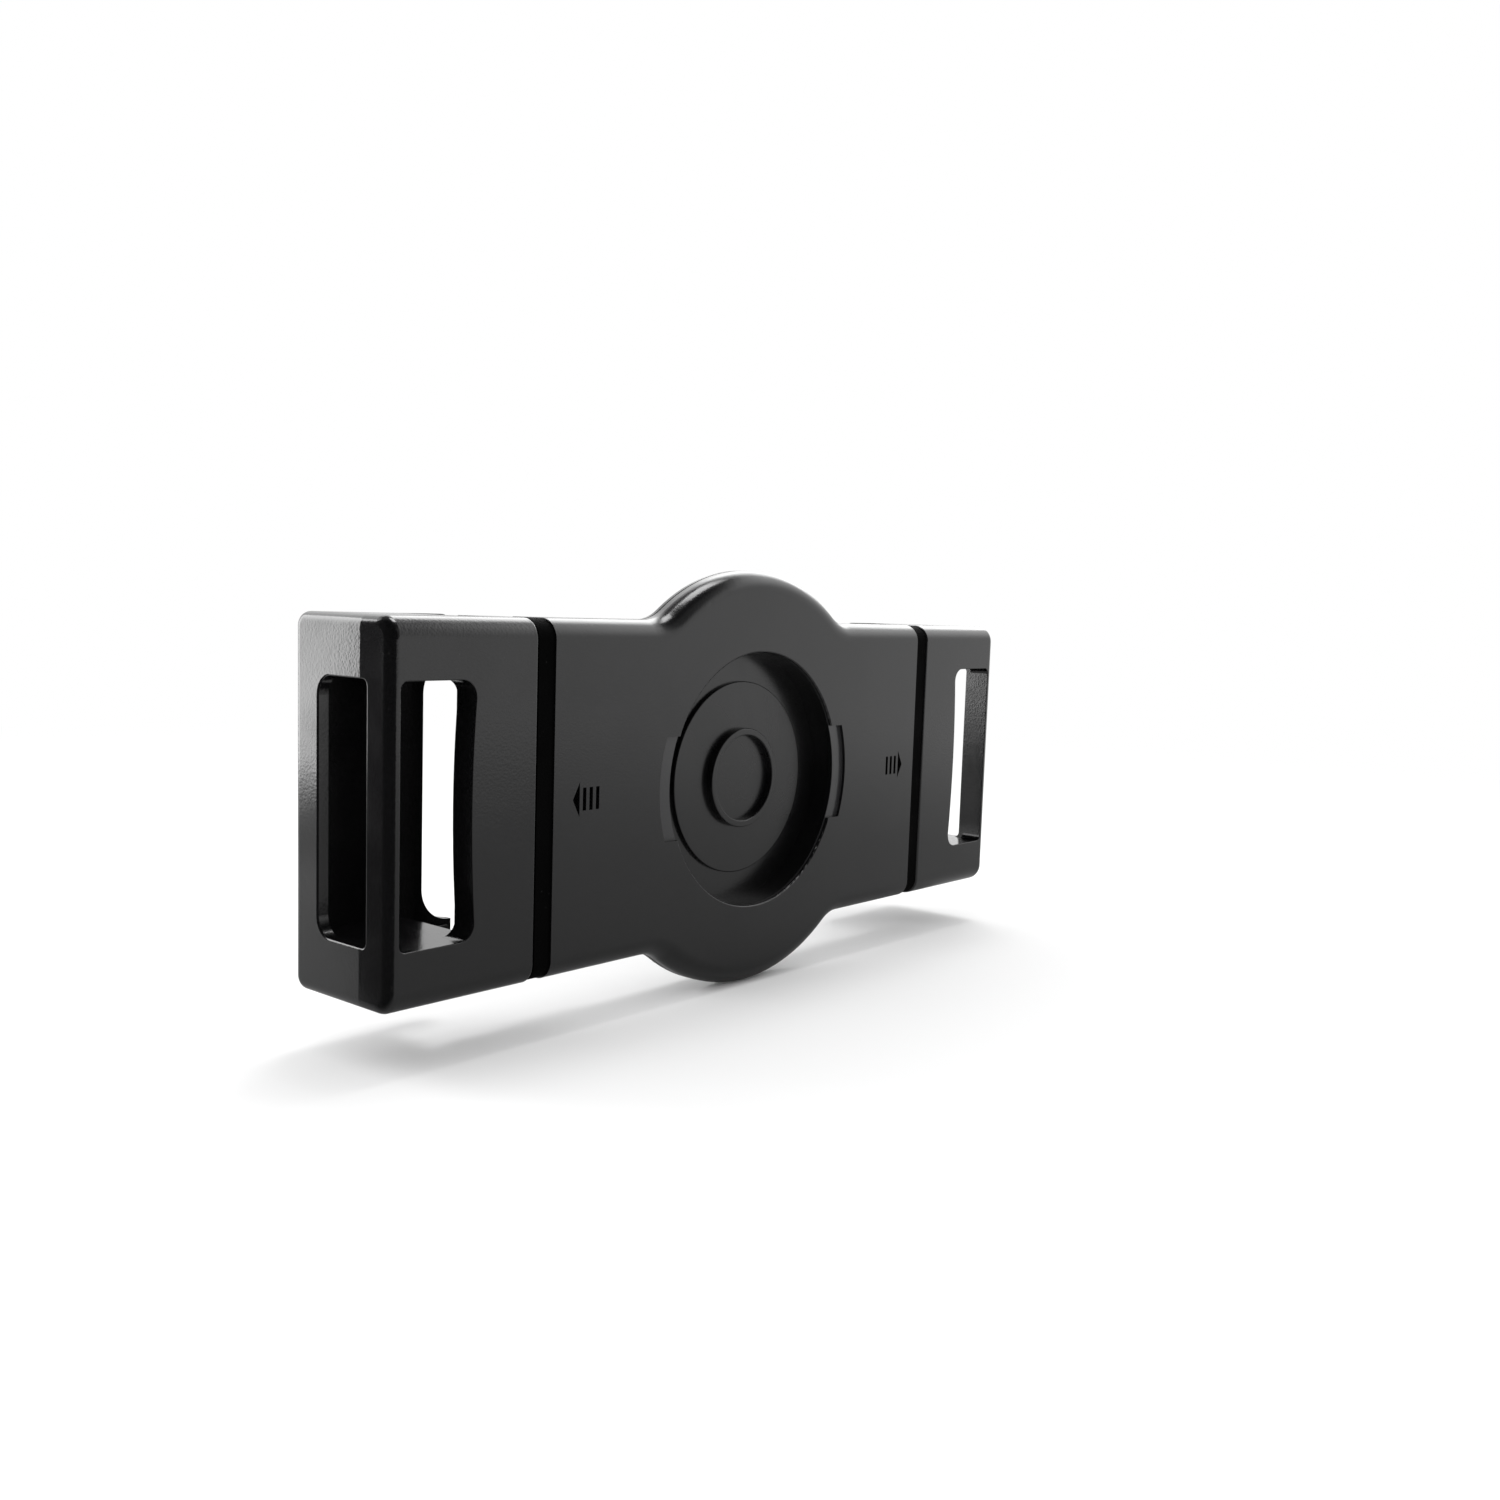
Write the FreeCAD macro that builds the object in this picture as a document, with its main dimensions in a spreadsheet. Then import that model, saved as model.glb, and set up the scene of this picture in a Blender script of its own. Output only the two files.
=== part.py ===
import FreeCAD, Part
import math
import os
import Sketcher

# Tablet mount: a body with a round quick-connect socket in its rear face and
# two spring-loaded jaws that slide out of its ends, kept in step by racks and a pinion.
# Frame: origin on the socket's axis at the rear face, +X to the right seen from
# behind, +Y towards the tablet, +Z up.

doc = FreeCAD.newDocument("tablet_mount")
Vec = FreeCAD.Vector

# Driving dimensions, in millimetres and degrees: name, value, meaning.
DIMENSIONS = [
    ("body_half_length", 68.3, "socket axis to the moulded body's end"),
    ("body_half_height", 38.8, "socket axis to the body's top edge"),
    ("hub_rise", 12.5, "round hub above the body's top edge"),
    ("hub_blend", 12.0, "concave corner between hub and body"),
    ("shell_depth", 6.4, "rear face to the seam with the front plate"),
    ("flange", 1.0, "front plate's flange over the shell's rim"),
    ("front_hub_inset", 6.8, "front plate's round middle inside the shell's"),
    ("front_blend", 8.0, "concave corner of the front plate"),
    ("wall", 2.5, "moulded wall of shell and plate"),
    ("rear_round", 4.6, "rounding along the rear edges"),
    ("front_bevel", 0.8, "bevel round the front plate"),
    ("seam_bevel", 0.2, "bevels that make the groove of the seam"),
    ("socket_radius", 31.5, "round socket for the stand's head"),
    ("socket_depth", 7.5, "rear face to the socket's floor"),
    ("socket_wall", 2.0, "socket's wall and floor"),
    ("socket_edge", 0.4, "rounding of the socket's rim"),
    ("disc_radius", 24.0, "raised disc on the socket's floor"),
    ("disc_height", 1.0, "disc above the floor"),
    ("disc_edge", 0.3, "rounding of the disc's edge"),
    ("ring_radius", 12.4, "locating ring's outside"),
    ("ring_wall", 1.7, "locating ring's wall"),
    ("ring_height", 1.8, "ring above the disc"),
    ("ring_edge", 0.3, "rounding of the ring's edges"),
    ("stake_circle", 18.0, "radius of the circle of heat stakes"),
    ("stake_radius", 1.5, "heat stake"),
    ("stake_head_radius", 2.2, "formed head of a stake"),
    ("stake_head", 0.7, "thickness of a stake's head"),
    ("stake_clearance", 0.05, "stake in its hole"),
    ("notch_reach", 4.3, "finger notches beyond the socket's rim"),
    ("notch_half_height", 12.2, "half the height of a notch"),
    ("notch_depth", 1.0, "depth of a notch"),
    ("mark_inset", 5.5, "tip of the pull arrow from the body's end"),
    ("mark_head", 2.0, "length of the arrow's head"),
    ("mark_half_height", 3.8, "half the height of the arrow's head"),
    ("mark_bar", 1.0, "width of an arrow's bar"),
    ("mark_pitch", 1.95, "bar to bar"),
    ("mark_bar_half", 2.5, "half the height of a bar"),
    ("mark_depth", 1.4, "depth of the arrows"),
    ("collar_length", 4.5, "black end collar, as seen"),
    ("collar_recess", 0.3, "collar below the body's outside"),
    ("plug_length", 3.0, "collar's plug inside the body"),
    ("plug_clearance", 0.05, "plug in the body"),
    ("jaw_gap", 0.3, "collar to closed jaw"),
    ("jaw_length", 36.9, "jaw from its inner end to its outer side"),
    ("jaw_depth", 32.2, "rear face to the front of the lip"),
    ("jaw_side", 2.5, "thickness of the jaw's outer side"),
    ("jaw_rear", 6.0, "jaw's rear plate beside its window"),
    ("jaw_box_length", 9.4, "thick root of the jaw that takes the slider"),
    ("stop_in", 13.9, "jaw's inner end to the webs that carry the stop pads"),
    ("jaw_edge", 2.2, "rounding round the jaw's outer side"),
    ("jaw_front_round", 3.0, "rounding along the jaw's front top and bottom edges"),
    ("jaw_end_round", 0.6, "rounding round the jaw's inner end"),
    ("lip_thick", 3.5, "front lip"),
    ("lip_over", 0.6, "fingers of the lip past the jaw's inner end"),
    ("lip_cut_in", 7.4, "jaw's inner end to the lip between its fingers"),
    ("lip_cut_margin", 9.8, "height of a finger"),
    ("lip_cut_round", 7.5, "corners of the cut in the lip"),
    ("finger_round", 3.5, "outer corners of the fingers"),
    ("room_round", 1.6, "rear window's corners along the outer side"),
    ("window_margin", 12.5, "top edge to the jaw's windows"),
    ("window_in", 15.9, "jaw's inner end to the rear window's near edge"),
    ("window_bow", 1.2, "bow of the near edge"),
    ("window_round", 3.5, "corners of the rear window"),
    ("window_edge", 0.4, "rounding of the side window's outer edge"),
    ("rear_window_edge", 0.2, "rounding of the rear window's edge"),
    ("side_window_rear", 7.5, "rear face to the side window"),
    ("side_window_front", 23.7, "rear face to the side window's far edge"),
    ("side_window_round", 4.0, "front corners of the side window"),
    ("side_window_tight", 1.5, "rear corners of the side window"),
    ("slide_thick", 2.2, "steel slider plate"),
    ("slide_clearance", 0.3, "slider to what it runs between"),
    ("arm_gap", 2.2, "slider arm beyond the spring's tab"),
    ("arm_end", 10.0, "socket axis to the arm's closed end"),
    ("yoke_inset", 8.3, "yoke that joins the arms, in from the body's end"),
    ("yoke_into_jaw", 8.0, "length of slider inside the jaw"),
    ("slot_clearance", 0.1, "slider in the jaw's slot"),
    ("gear_module", 1.0, "module of rack and pinion"),
    ("gear_teeth", 18, "teeth on the pinion"),
    ("gear_backlash", 0.16, "play between the teeth"),
    ("rack_depth", 6.0, "rack from its pitch line to its back"),
    ("travel", 45.0, "each jaw's travel"),
    ("lug_length", 3.0, "stop lug at the rack's end"),
    ("lug_height", 2.5, "stop lug beyond the rack's back"),
    ("stop_half", 2.7, "half the length of the stop block"),
    ("stop_gap", 0.3, "lug to stop block with the jaw pulled out"),
    ("gear_bore", 3.0, "pinion's bore radius"),
    ("gear_clearance", 0.05, "pinion on its pin"),
    ("pin_head_radius", 4.5, "head of the pinion's pin"),
    ("pin_head", 0.8, "thickness of the pin's head"),
    ("spring_radius", 1.5, "outside of the spring"),
    ("spring_wire", 0.3, "half the spring's wire"),
    ("spring_hook", 1.2, "radius of the end loops"),
    ("spring_gap", 0.5, "stop lug to spring"),
    ("spring_fixed", 36.0, "fixed anchor beyond the axis"),
    ("spring_moving", 14.0, "slider's rivet from the axis, closed"),
    ("tab_half", 2.5, "half the width of the tab that carries the rivet"),
    ("tab_margin", 2.3, "tab beyond the spring's middle"),
    ("spring_loop_gap", 4.5, "loop's centre to the end of the coils"),
    ("lane_clearance", 0.25, "spring in its groove"),
    ("lane_play", 0.2, "play over the spring in its groove"),
    ("lane_run", 3.0, "groove past the ends of the spring's run"),
    ("anchor_grip", 1.0, "anchor pins in the plate under the groove"),
    ("spring_joint", 0.5, "end wires into the coils"),
    ("lane_depth", 1.0, "depth of the spring's groove"),
    ("pin_radius", 0.8, "spring anchors and rivets"),
    ("rivet_web", 0.8, "steel left in the tab under the spring's loop"),
    ("rivet_shoulder", 1.3, "radius of the rivet's shoulder"),
    ("rivet_step", 0.25, "height of the rivet's shoulder"),
    ("boss_radius", 2.4, "screw boss"),
    ("boss_start", 2.0, "rear face to the foot of a boss"),
    ("screw_radius", 1.2, "screw's shank"),
    ("screw_clearance", 0.02, "shank in its hole"),
    ("screw_head_radius", 2.2, "screw's head"),
    ("screw_head", 1.5, "height of a screw's head"),
    ("flange_screw_tip", 3.0, "rear face to the flange screws' tips"),
    ("flange_screw_angle", 22.5, "flange screws from the upright, in degrees"),
    ("end_play", 0.1, "play at the ends of screws and stakes"),
    ("cut_over", 1.0, "cuts run past the edge that they open"),
    ("screw_tip", 4.0, "rear face to the other screws' tips"),
    ("mid_screw_out", 8.0, "middle screws beyond the springs' fixed ends"),
    ("jaw_screw_in", 4.4, "jaw screws from the jaw's inner end"),
    ("jaw_screw_near", 12.0, "inner pair of jaw screws"),
    ("rail_half", 0.8, "half the thickness of a guide rail"),
    ("rail_gap", 3.0, "socket's wall to the rails"),
    ("rail_inset", 6.3, "rails' ends in from the body's end"),
    ("guide_thick", 0.7, "ribs that guide the arms"),
    ("guide_inset", 10.3, "guide ribs' ends in from the body's end"),
    ("pad_thick", 1.7, "rubber pads behind the tablet"),
    ("pad_inset", 18.3, "centre of a rear pad in from the body's end"),
    ("pad_drop", 12.8, "centre of a rear pad below the top edge"),
    ("pad_half_x", 11.0, "half the length of a rear pad"),
    ("pad_half_z", 6.0, "half the height of a rear pad"),
    ("pad_round", 3.0, "corners of a rear pad"),
    ("liner_stop", 1.8, "rubber on the jaw's stop"),
    ("liner_lip", 1.2, "rubber behind the lip"),
    ("liner_margin", 1.2, "rubber in from the web's edges"),
    ("liner_lip_edge", 1.5, "rubber in from the finger's end"),
]

sheet = doc.addObject("Spreadsheet::Sheet", "Dims")
for row, (alias, value, note) in enumerate(DIMENSIONS, start=1):
    sheet.set("A%d" % row, note)
    sheet.set("B%d" % row, str(value))
    sheet.setAlias("B%d" % row, alias)
doc.recompute()


def d(alias):
    """Names a cell in an expression."""
    return "Dims." + alias


def number(expression):
    """Value of an expression over the sheet."""
    return float(sheet.evalExpression(expression))


# Places worked out from the driving dimensions, as expressions.
HUB = "(Dims.body_half_height + Dims.hub_rise)"
FRONT_HUB = "(%s - Dims.front_hub_inset)" % HUB
FLANGE_FACE = "(Dims.shell_depth + Dims.flange)"
INNER_HEIGHT = "(Dims.body_half_height - Dims.wall)"
SOCKET_BACK = "(Dims.socket_depth + Dims.socket_wall)"
SLIDE_REAR = "(%s + Dims.slide_clearance)" % SOCKET_BACK
SLIDE_FRONT = "(%s + Dims.slide_thick)" % SLIDE_REAR
PLATE_INSIDE = "(%s + Dims.slide_clearance)" % SLIDE_FRONT
BODY_FACE = "(%s + Dims.wall)" % PLATE_INSIDE
NOTCH = "(Dims.socket_radius + Dims.notch_reach)"
MARK_TIP = "(Dims.body_half_length - Dims.mark_inset)"
COLLAR_END = "(Dims.body_half_length + Dims.collar_length)"
JAW_INNER = "(%s + Dims.jaw_gap)" % COLLAR_END
JAW_REACH = "(%s + Dims.jaw_length)" % JAW_INNER
JAW_BOX_END = "(%s + Dims.jaw_box_length)" % JAW_INNER
JAW_STOP = "(%s + Dims.stop_in)" % JAW_INNER
WINDOW_HALF = "(Dims.body_half_height - Dims.window_margin)"
WINDOW_INNER = "(%s + Dims.window_in)" % JAW_INNER
WINDOW_OUTER = "(%s - Dims.jaw_side)" % JAW_REACH
LIP_INSIDE = "(Dims.jaw_depth - Dims.lip_thick)"
LIP_REACH = "(%s - Dims.lip_over)" % JAW_INNER
LIP_CUT = "(%s + Dims.lip_cut_in)" % JAW_INNER
LIP_CUT_HALF = "(Dims.body_half_height - Dims.lip_cut_margin)"
SLIDE_END = "(%s + Dims.yoke_into_jaw)" % JAW_INNER
PITCH_RADIUS = "(Dims.gear_module * Dims.gear_teeth / 2)"
TIP_LINE = "(%s - Dims.gear_module)" % PITCH_RADIUS
RACK_BACK = "(%s + Dims.rack_depth)" % PITCH_RADIUS
RACK_MIDDLE = "(%s + 0.5 * Dims.rack_depth)" % PITCH_RADIUS
RACK_END = "(Dims.travel + Dims.stop_half + Dims.stop_gap + Dims.lug_length)"
LUG_OUT = "(%s + Dims.lug_height)" % RACK_BACK
SPRING_LANE = "(%s + Dims.spring_gap + Dims.spring_radius)" % LUG_OUT
TAB_OUT = "(%s + Dims.tab_margin)" % SPRING_LANE
ARM_INNER = "(%s + Dims.arm_gap)" % TAB_OUT
ARM_OUTER = "(%s - Dims.slide_clearance)" % INNER_HEIGHT
ARM_MIDDLE = "(0.5 * (%s + %s))" % (ARM_INNER, ARM_OUTER)
YOKE = "(Dims.body_half_length - Dims.yoke_inset)"
DISC_FACE = "(Dims.socket_depth - Dims.disc_height)"
LANE_FLOOR = "(%s + Dims.lane_depth)" % PLATE_INSIDE
SPRING_Y = ("(%s - Dims.lane_clearance - Dims.lane_play - Dims.spring_radius)" % LANE_FLOOR)
JAW_SCREW_X = "(%s + Dims.jaw_screw_in)" % JAW_INNER
RAIL_START = "(Dims.socket_radius + Dims.socket_wall + Dims.rail_gap)"
GUIDE_OUT = "(%s - Dims.slide_clearance)" % ARM_INNER
GUIDE_IN = "(%s - Dims.guide_thick)" % GUIDE_OUT


def new_body(label):
    body = doc.addObject("PartDesign::Body", label)
    body.Label = label
    return body


def origin_plane(body, role):
    for item in body.Origin.OriginFeatures:
        if item.Role == role:
            return item
    raise ValueError(role)


def new_sketch(body, name, role, offset="0"):
    """Sketch on an origin plane; offset runs along +X, +Y or +Z."""
    sketch = body.newObject("Sketcher::SketchObject", name)
    sketch.AttachmentSupport = [(origin_plane(body, role), "")]
    sketch.MapMode = "FlatFace"
    sign = "-1 * " if role == "XZ_Plane" else ""
    sketch.setExpression(".AttachmentOffset.Base.z", sign + "(" + offset + ")")
    return sketch


def hold_point(sketch, geo, end, x_text, y_text):
    """Ties one end of a line or arc to sheet values, measured from the origin."""
    for kind, text, axis in (("DistanceX", x_text, -2), ("DistanceY", y_text, -1)):
        value = number(text)
        if abs(value) < 1e-9:
            sketch.addConstraint(Sketcher.Constraint("PointOnObject", geo, end, axis))
            continue
        index = sketch.addConstraint(Sketcher.Constraint(kind, -1, 1, geo, end, value))
        sketch.setExpression("Constraints[%d]" % index, text)


def add_polygon(sketch, corners):
    """Closed polygon whose corners are pairs of expressions."""
    points = [Vec(number(x), number(y), 0) for x, y in corners]
    first = sketch.GeometryCount
    count = len(points)
    for i in range(count):
        sketch.addGeometry(Part.LineSegment(points[i], points[(i + 1) % count]), False)
    for i in range(count):
        following = first + (i + 1) % count
        sketch.addConstraint(Sketcher.Constraint("Coincident", first + i, 2, following, 1))
    for i, (x, y) in enumerate(corners):
        hold_point(sketch, first + i, 1, x, y)


def add_rectangle(sketch, x_low, x_high, y_low, y_high):
    add_polygon(sketch, [(x_low, y_low), (x_high, y_low), (x_high, y_high), (x_low, y_high)])


def add_circle(sketch, x, y, radius):
    centre = Vec(number(x), number(y), 0)
    geo = sketch.addGeometry(Part.Circle(centre, Vec(0, 0, 1), number(radius)), False)
    index = sketch.addConstraint(Sketcher.Constraint("Radius", geo, number(radius)))
    sketch.setExpression("Constraints[%d]" % index, radius)
    if abs(number(x)) < 1e-9 and abs(number(y)) < 1e-9:
        sketch.addConstraint(Sketcher.Constraint("Coincident", geo, 3, -1, 1))
    else:
        hold_point(sketch, geo, 3, x, y)


def extrude(body, kind, sketch, length, forward):
    """Pad or pocket along +X, +Y or +Z when forward, else the other way."""
    before = body.Tip.Shape.Volume if body.Tip else 0.0
    feature = body.newObject(kind, sketch.Name + ("_pad" if kind.endswith("Pad") else "_cut"))
    feature.Profile = sketch
    feature.setExpression("Length", length)
    along_normal = forward
    if sketch.AttachmentSupport[0][0].Role == "XZ_Plane":
        along_normal = not forward
    if kind.endswith("Pocket"):
        along_normal = not along_normal
    feature.Reversed = not along_normal
    sketch.Visibility = False
    doc.recompute()
    after = feature.Shape.Volume
    if kind.endswith("Pad") and after <= before or kind.endswith("Pocket") and after >= before:
        raise ValueError("%s changed nothing" % feature.Name)
    return feature


def pad(body, sketch, length, forward=True):
    return extrude(body, "PartDesign::Pad", sketch, length, forward)


def pocket(body, sketch, length, forward=True):
    return extrude(body, "PartDesign::Pocket", sketch, length, forward)


def edges_where(feature, test):
    """Names of the edges whose middle point and chord pass the test."""
    names = []
    for index, edge in enumerate(feature.Shape.Edges, start=1):
        low, high = edge.ParameterRange
        middle = edge.valueAt((low + high) / 2)
        chord = edge.valueAt(high) - edge.valueAt(low)
        if test(middle, chord):
            names.append("Edge%d" % index)
    return names


def round_edges(body, name, test, radius, kind="PartDesign::Fillet"):
    base = body.Tip
    names = edges_where(base, test)
    if not names:
        raise ValueError("no edges for " + name)
    feature = body.newObject(kind, name)
    feature.Base = (base, names)
    feature.setExpression("Radius" if kind.endswith("Fillet") else "Size", radius)
    doc.recompute()
    if not feature.isValid() or feature.Shape.isNull():
        raise ValueError("failed: " + name)
    return feature


def near(a, b, tolerance=0.02):
    return abs(a - b) < tolerance


def along(chord, axis):
    """True for a straight chord along x, y or z."""
    parts = {"x": chord.x, "y": chord.y, "z": chord.z}
    main = abs(parts.pop(axis))
    return main > 0.01 and all(abs(other) < 1e-4 * main + 1e-6 for other in parts.values())


def body_outline(body, name, start, depth, hub, blend):
    """The body's outline, a bar with a round hub, from one depth to another."""
    bar = new_sketch(body, name + "_bar", "XZ_Plane", start)
    add_rectangle(bar, "-" + d("body_half_length"), d("body_half_length"),
                  "-" + d("body_half_height"), d("body_half_height"))
    pad(body, bar, depth)
    middle = new_sketch(body, name + "_hub", "XZ_Plane", start)
    add_circle(middle, "0", "0", hub)
    pad(body, middle, depth)
    half_height = number(d("body_half_height"))
    level = number("%s + 0.5 * %s" % (start, depth))
    round_edges(body, name + "_blend",
                lambda m, c: along(c, "y") and near(abs(m.z), half_height)
                and near(m.y, level) and abs(m.x) < number(hub), blend)


def hollow_out(body, name, start, depth, hub):
    """Room inside the body's walls, open at both ends."""
    bar = new_sketch(body, name + "_bar", "XZ_Plane", start)
    over = "(Dims.body_half_length + Dims.cut_over)"
    add_rectangle(bar, "-" + over, over, "-" + INNER_HEIGHT, INNER_HEIGHT)
    pocket(body, bar, depth)
    middle = new_sketch(body, name + "_hub", "XZ_Plane", start)
    add_circle(middle, "0", "0", "(%s - Dims.wall)" % hub)
    pocket(body, middle, depth)


# Screw places on the body, as expressions: four through the flange, two beside the racks.
FLANGE_CIRCLE = "(%s - 0.5 * Dims.front_hub_inset)" % HUB
FLANGE_SCREWS = [("%s(%s * sin(Dims.flange_screw_angle))" % (sx, FLANGE_CIRCLE),
                  "%s(%s * cos(Dims.flange_screw_angle))" % (sz, FLANGE_CIRCLE))
                 for sx in ("", "-") for sz in ("", "-")]
MID_X = "(Dims.spring_fixed + Dims.mid_screw_out)"
MID_Z = "(%s - Dims.slide_clearance - Dims.boss_radius)" % GUIDE_IN
MID_SCREWS = [(s + MID_X, s + MID_Z) for s in ("", "-")]


def make_rear_shell():
    """Rear moulding: round-edged cover with the socket, notches and pull arrows."""
    body = new_body("rear_shell")
    body_outline(body, "shell", "0", d("shell_depth"), HUB, d("hub_blend"))
    end = number(d("body_half_length"))
    round_edges(body, "shell_rear_round",
                lambda m, c: near(m.y, 0) and not near(abs(m.x), end), d("rear_round"))
    seam = number(d("shell_depth"))
    round_edges(body, "shell_seam", lambda m, c: near(m.y, seam) and not near(abs(m.x), end),
                d("seam_bevel"), "PartDesign::Chamfer")
    hollow_out(body, "shell_room", d("wall"), "(Dims.shell_depth - Dims.wall)", HUB)

    cup = new_sketch(body, "socket_cup", "XZ_Plane", "0.5 * Dims.wall")
    add_circle(cup, "0", "0", "(Dims.socket_radius + Dims.socket_wall)")
    pad(body, cup, "(%s - 0.5 * Dims.wall)" % SOCKET_BACK)

    for sign in ("", "-"):
        rails = new_sketch(body, "rails" + ("_left" if sign else "_right"), "XZ_Plane",
                           "0.5 * Dims.wall")
        for place in (ARM_MIDDLE, RACK_MIDDLE):
            for side in ("", "-"):
                low = "(%s%s - Dims.rail_half)" % (side, place)
                high = "(%s%s + Dims.rail_half)" % (side, place)
                x_ends = [sign + RAIL_START, sign + "(Dims.body_half_length - Dims.rail_inset)"]
                x_ends.sort(key=number)
                add_rectangle(rails, x_ends[0], x_ends[1], low, high)
        pad(body, rails, "(%s - 0.5 * Dims.wall)" % SOCKET_BACK)

    for name, places, top, tip in (("flange_boss", FLANGE_SCREWS, d("shell_depth"),
                                    d("flange_screw_tip")),
                                   ("mid_boss", MID_SCREWS, PLATE_INSIDE, d("screw_tip"))):
        bosses = new_sketch(body, name, "XZ_Plane", d("boss_start"))
        holes = new_sketch(body, name + "_hole", "XZ_Plane", top)
        for x, z in places:
            add_circle(bosses, x, z, d("boss_radius"))
            add_circle(holes, x, z, "(Dims.screw_radius + Dims.screw_clearance)")
        pad(body, bosses, "(%s - Dims.boss_start)" % top)
        pocket(body, holes, "(%s - %s + Dims.end_play)" % (top, tip), False)

    bowl = new_sketch(body, "socket", "XZ_Plane", "0")
    add_circle(bowl, "0", "0", d("socket_radius"))
    pocket(body, bowl, d("socket_depth"))
    rim = number(d("socket_radius"))
    round_edges(body, "socket_rim",
                lambda m, c: near(m.y, 0) and near(math.hypot(m.x, m.z), rim),
                d("socket_edge"))

    stakes = new_sketch(body, "stake_holes", "XZ_Plane", d("socket_depth"))
    heads = new_sketch(body, "stake_recess", "XZ_Plane", SOCKET_BACK)
    for x, z in stake_places():
        add_circle(stakes, x, z, "(Dims.stake_radius + Dims.stake_clearance)")
        add_circle(heads, x, z, "(Dims.stake_head_radius + Dims.stake_clearance)")
    pocket(body, stakes, d("socket_wall"))
    pocket(body, heads, "(Dims.stake_head + Dims.end_play)", False)

    for sign in ("", "-"):
        side = "_left" if sign else "_right"
        notch = new_sketch(body, "notch" + side, "XZ_Plane", "0")
        add_notch(notch, sign)
        pocket(body, notch, d("notch_depth"))
        mark = new_sketch(body, "pull_arrow" + side, "XZ_Plane", "0")
        add_arrow(mark, sign)
        pocket(body, mark, d("mark_depth"))
    return body


def stake_places():
    reach = "(Dims.stake_circle * cos(45))"
    return [(sx + reach, sz + reach) for sx in ("", "-") for sz in ("", "-")]


def add_notch(sketch, sign):
    """Finger notch beside the socket: an arc round the axis, closed inside the socket."""
    radius = number(NOTCH)
    half = number(d("notch_half_height"))
    turn = math.asin(half / radius)
    start, stop = (-turn, turn) if not sign else (math.pi - turn, math.pi + turn)
    inside = ("%s(sqrt(Dims.socket_radius ^ 2 - Dims.notch_half_height ^ 2) - Dims.cut_over)"
              % sign)
    circle = Part.Circle(Vec(0, 0, 0), Vec(0, 0, 1), radius)
    arc = sketch.addGeometry(Part.ArcOfCircle(circle, start, stop), False)
    sketch.addConstraint(Sketcher.Constraint("Coincident", arc, 3, -1, 1))
    index = sketch.addConstraint(Sketcher.Constraint("Radius", arc, radius))
    sketch.setExpression("Constraints[%d]" % index, NOTCH)
    first = Vec(radius * math.cos(start), radius * math.sin(start), 0)
    last = Vec(radius * math.cos(stop), radius * math.sin(stop), 0)
    near_x = number(inside)
    corner_last = Vec(near_x, last.y, 0)
    corner_first = Vec(near_x, first.y, 0)
    top = sketch.addGeometry(Part.LineSegment(last, corner_last), False)
    back = sketch.addGeometry(Part.LineSegment(corner_last, corner_first), False)
    bottom = sketch.addGeometry(Part.LineSegment(corner_first, first), False)
    for pair in ((arc, 2, top, 1), (top, 2, back, 1), (back, 2, bottom, 1), (bottom, 2, arc, 1)):
        sketch.addConstraint(Sketcher.Constraint("Coincident", *pair))
    upper = "-" + d("notch_half_height") if sign else d("notch_half_height")
    lower = d("notch_half_height") if sign else "-" + d("notch_half_height")
    hold_point(sketch, back, 1, inside, upper)
    hold_point(sketch, back, 2, inside, lower)
    sketch.addConstraint(Sketcher.Constraint("Horizontal", top))
    sketch.addConstraint(Sketcher.Constraint("Horizontal", bottom))


def add_arrow(sketch, sign):
    """Three bars and a triangle that points along the jaw's pull."""
    tip = sign + MARK_TIP
    base = "%s(%s - Dims.mark_head)" % (sign, MARK_TIP)
    add_polygon(sketch, [(tip, "0"), (base, d("mark_half_height")),
                         (base, "-" + d("mark_half_height"))])
    for place in (1, 2, 3):
        near_x = "%s(%s - Dims.mark_head - %d * Dims.mark_pitch)" % (sign, MARK_TIP, place)
        far_x = "%s(%s - Dims.mark_head - %d * Dims.mark_pitch + Dims.mark_bar)" % (
            sign, MARK_TIP, place)
        add_rectangle(sketch, near_x, far_x, "-" + d("mark_bar_half"), d("mark_bar_half"))


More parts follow.
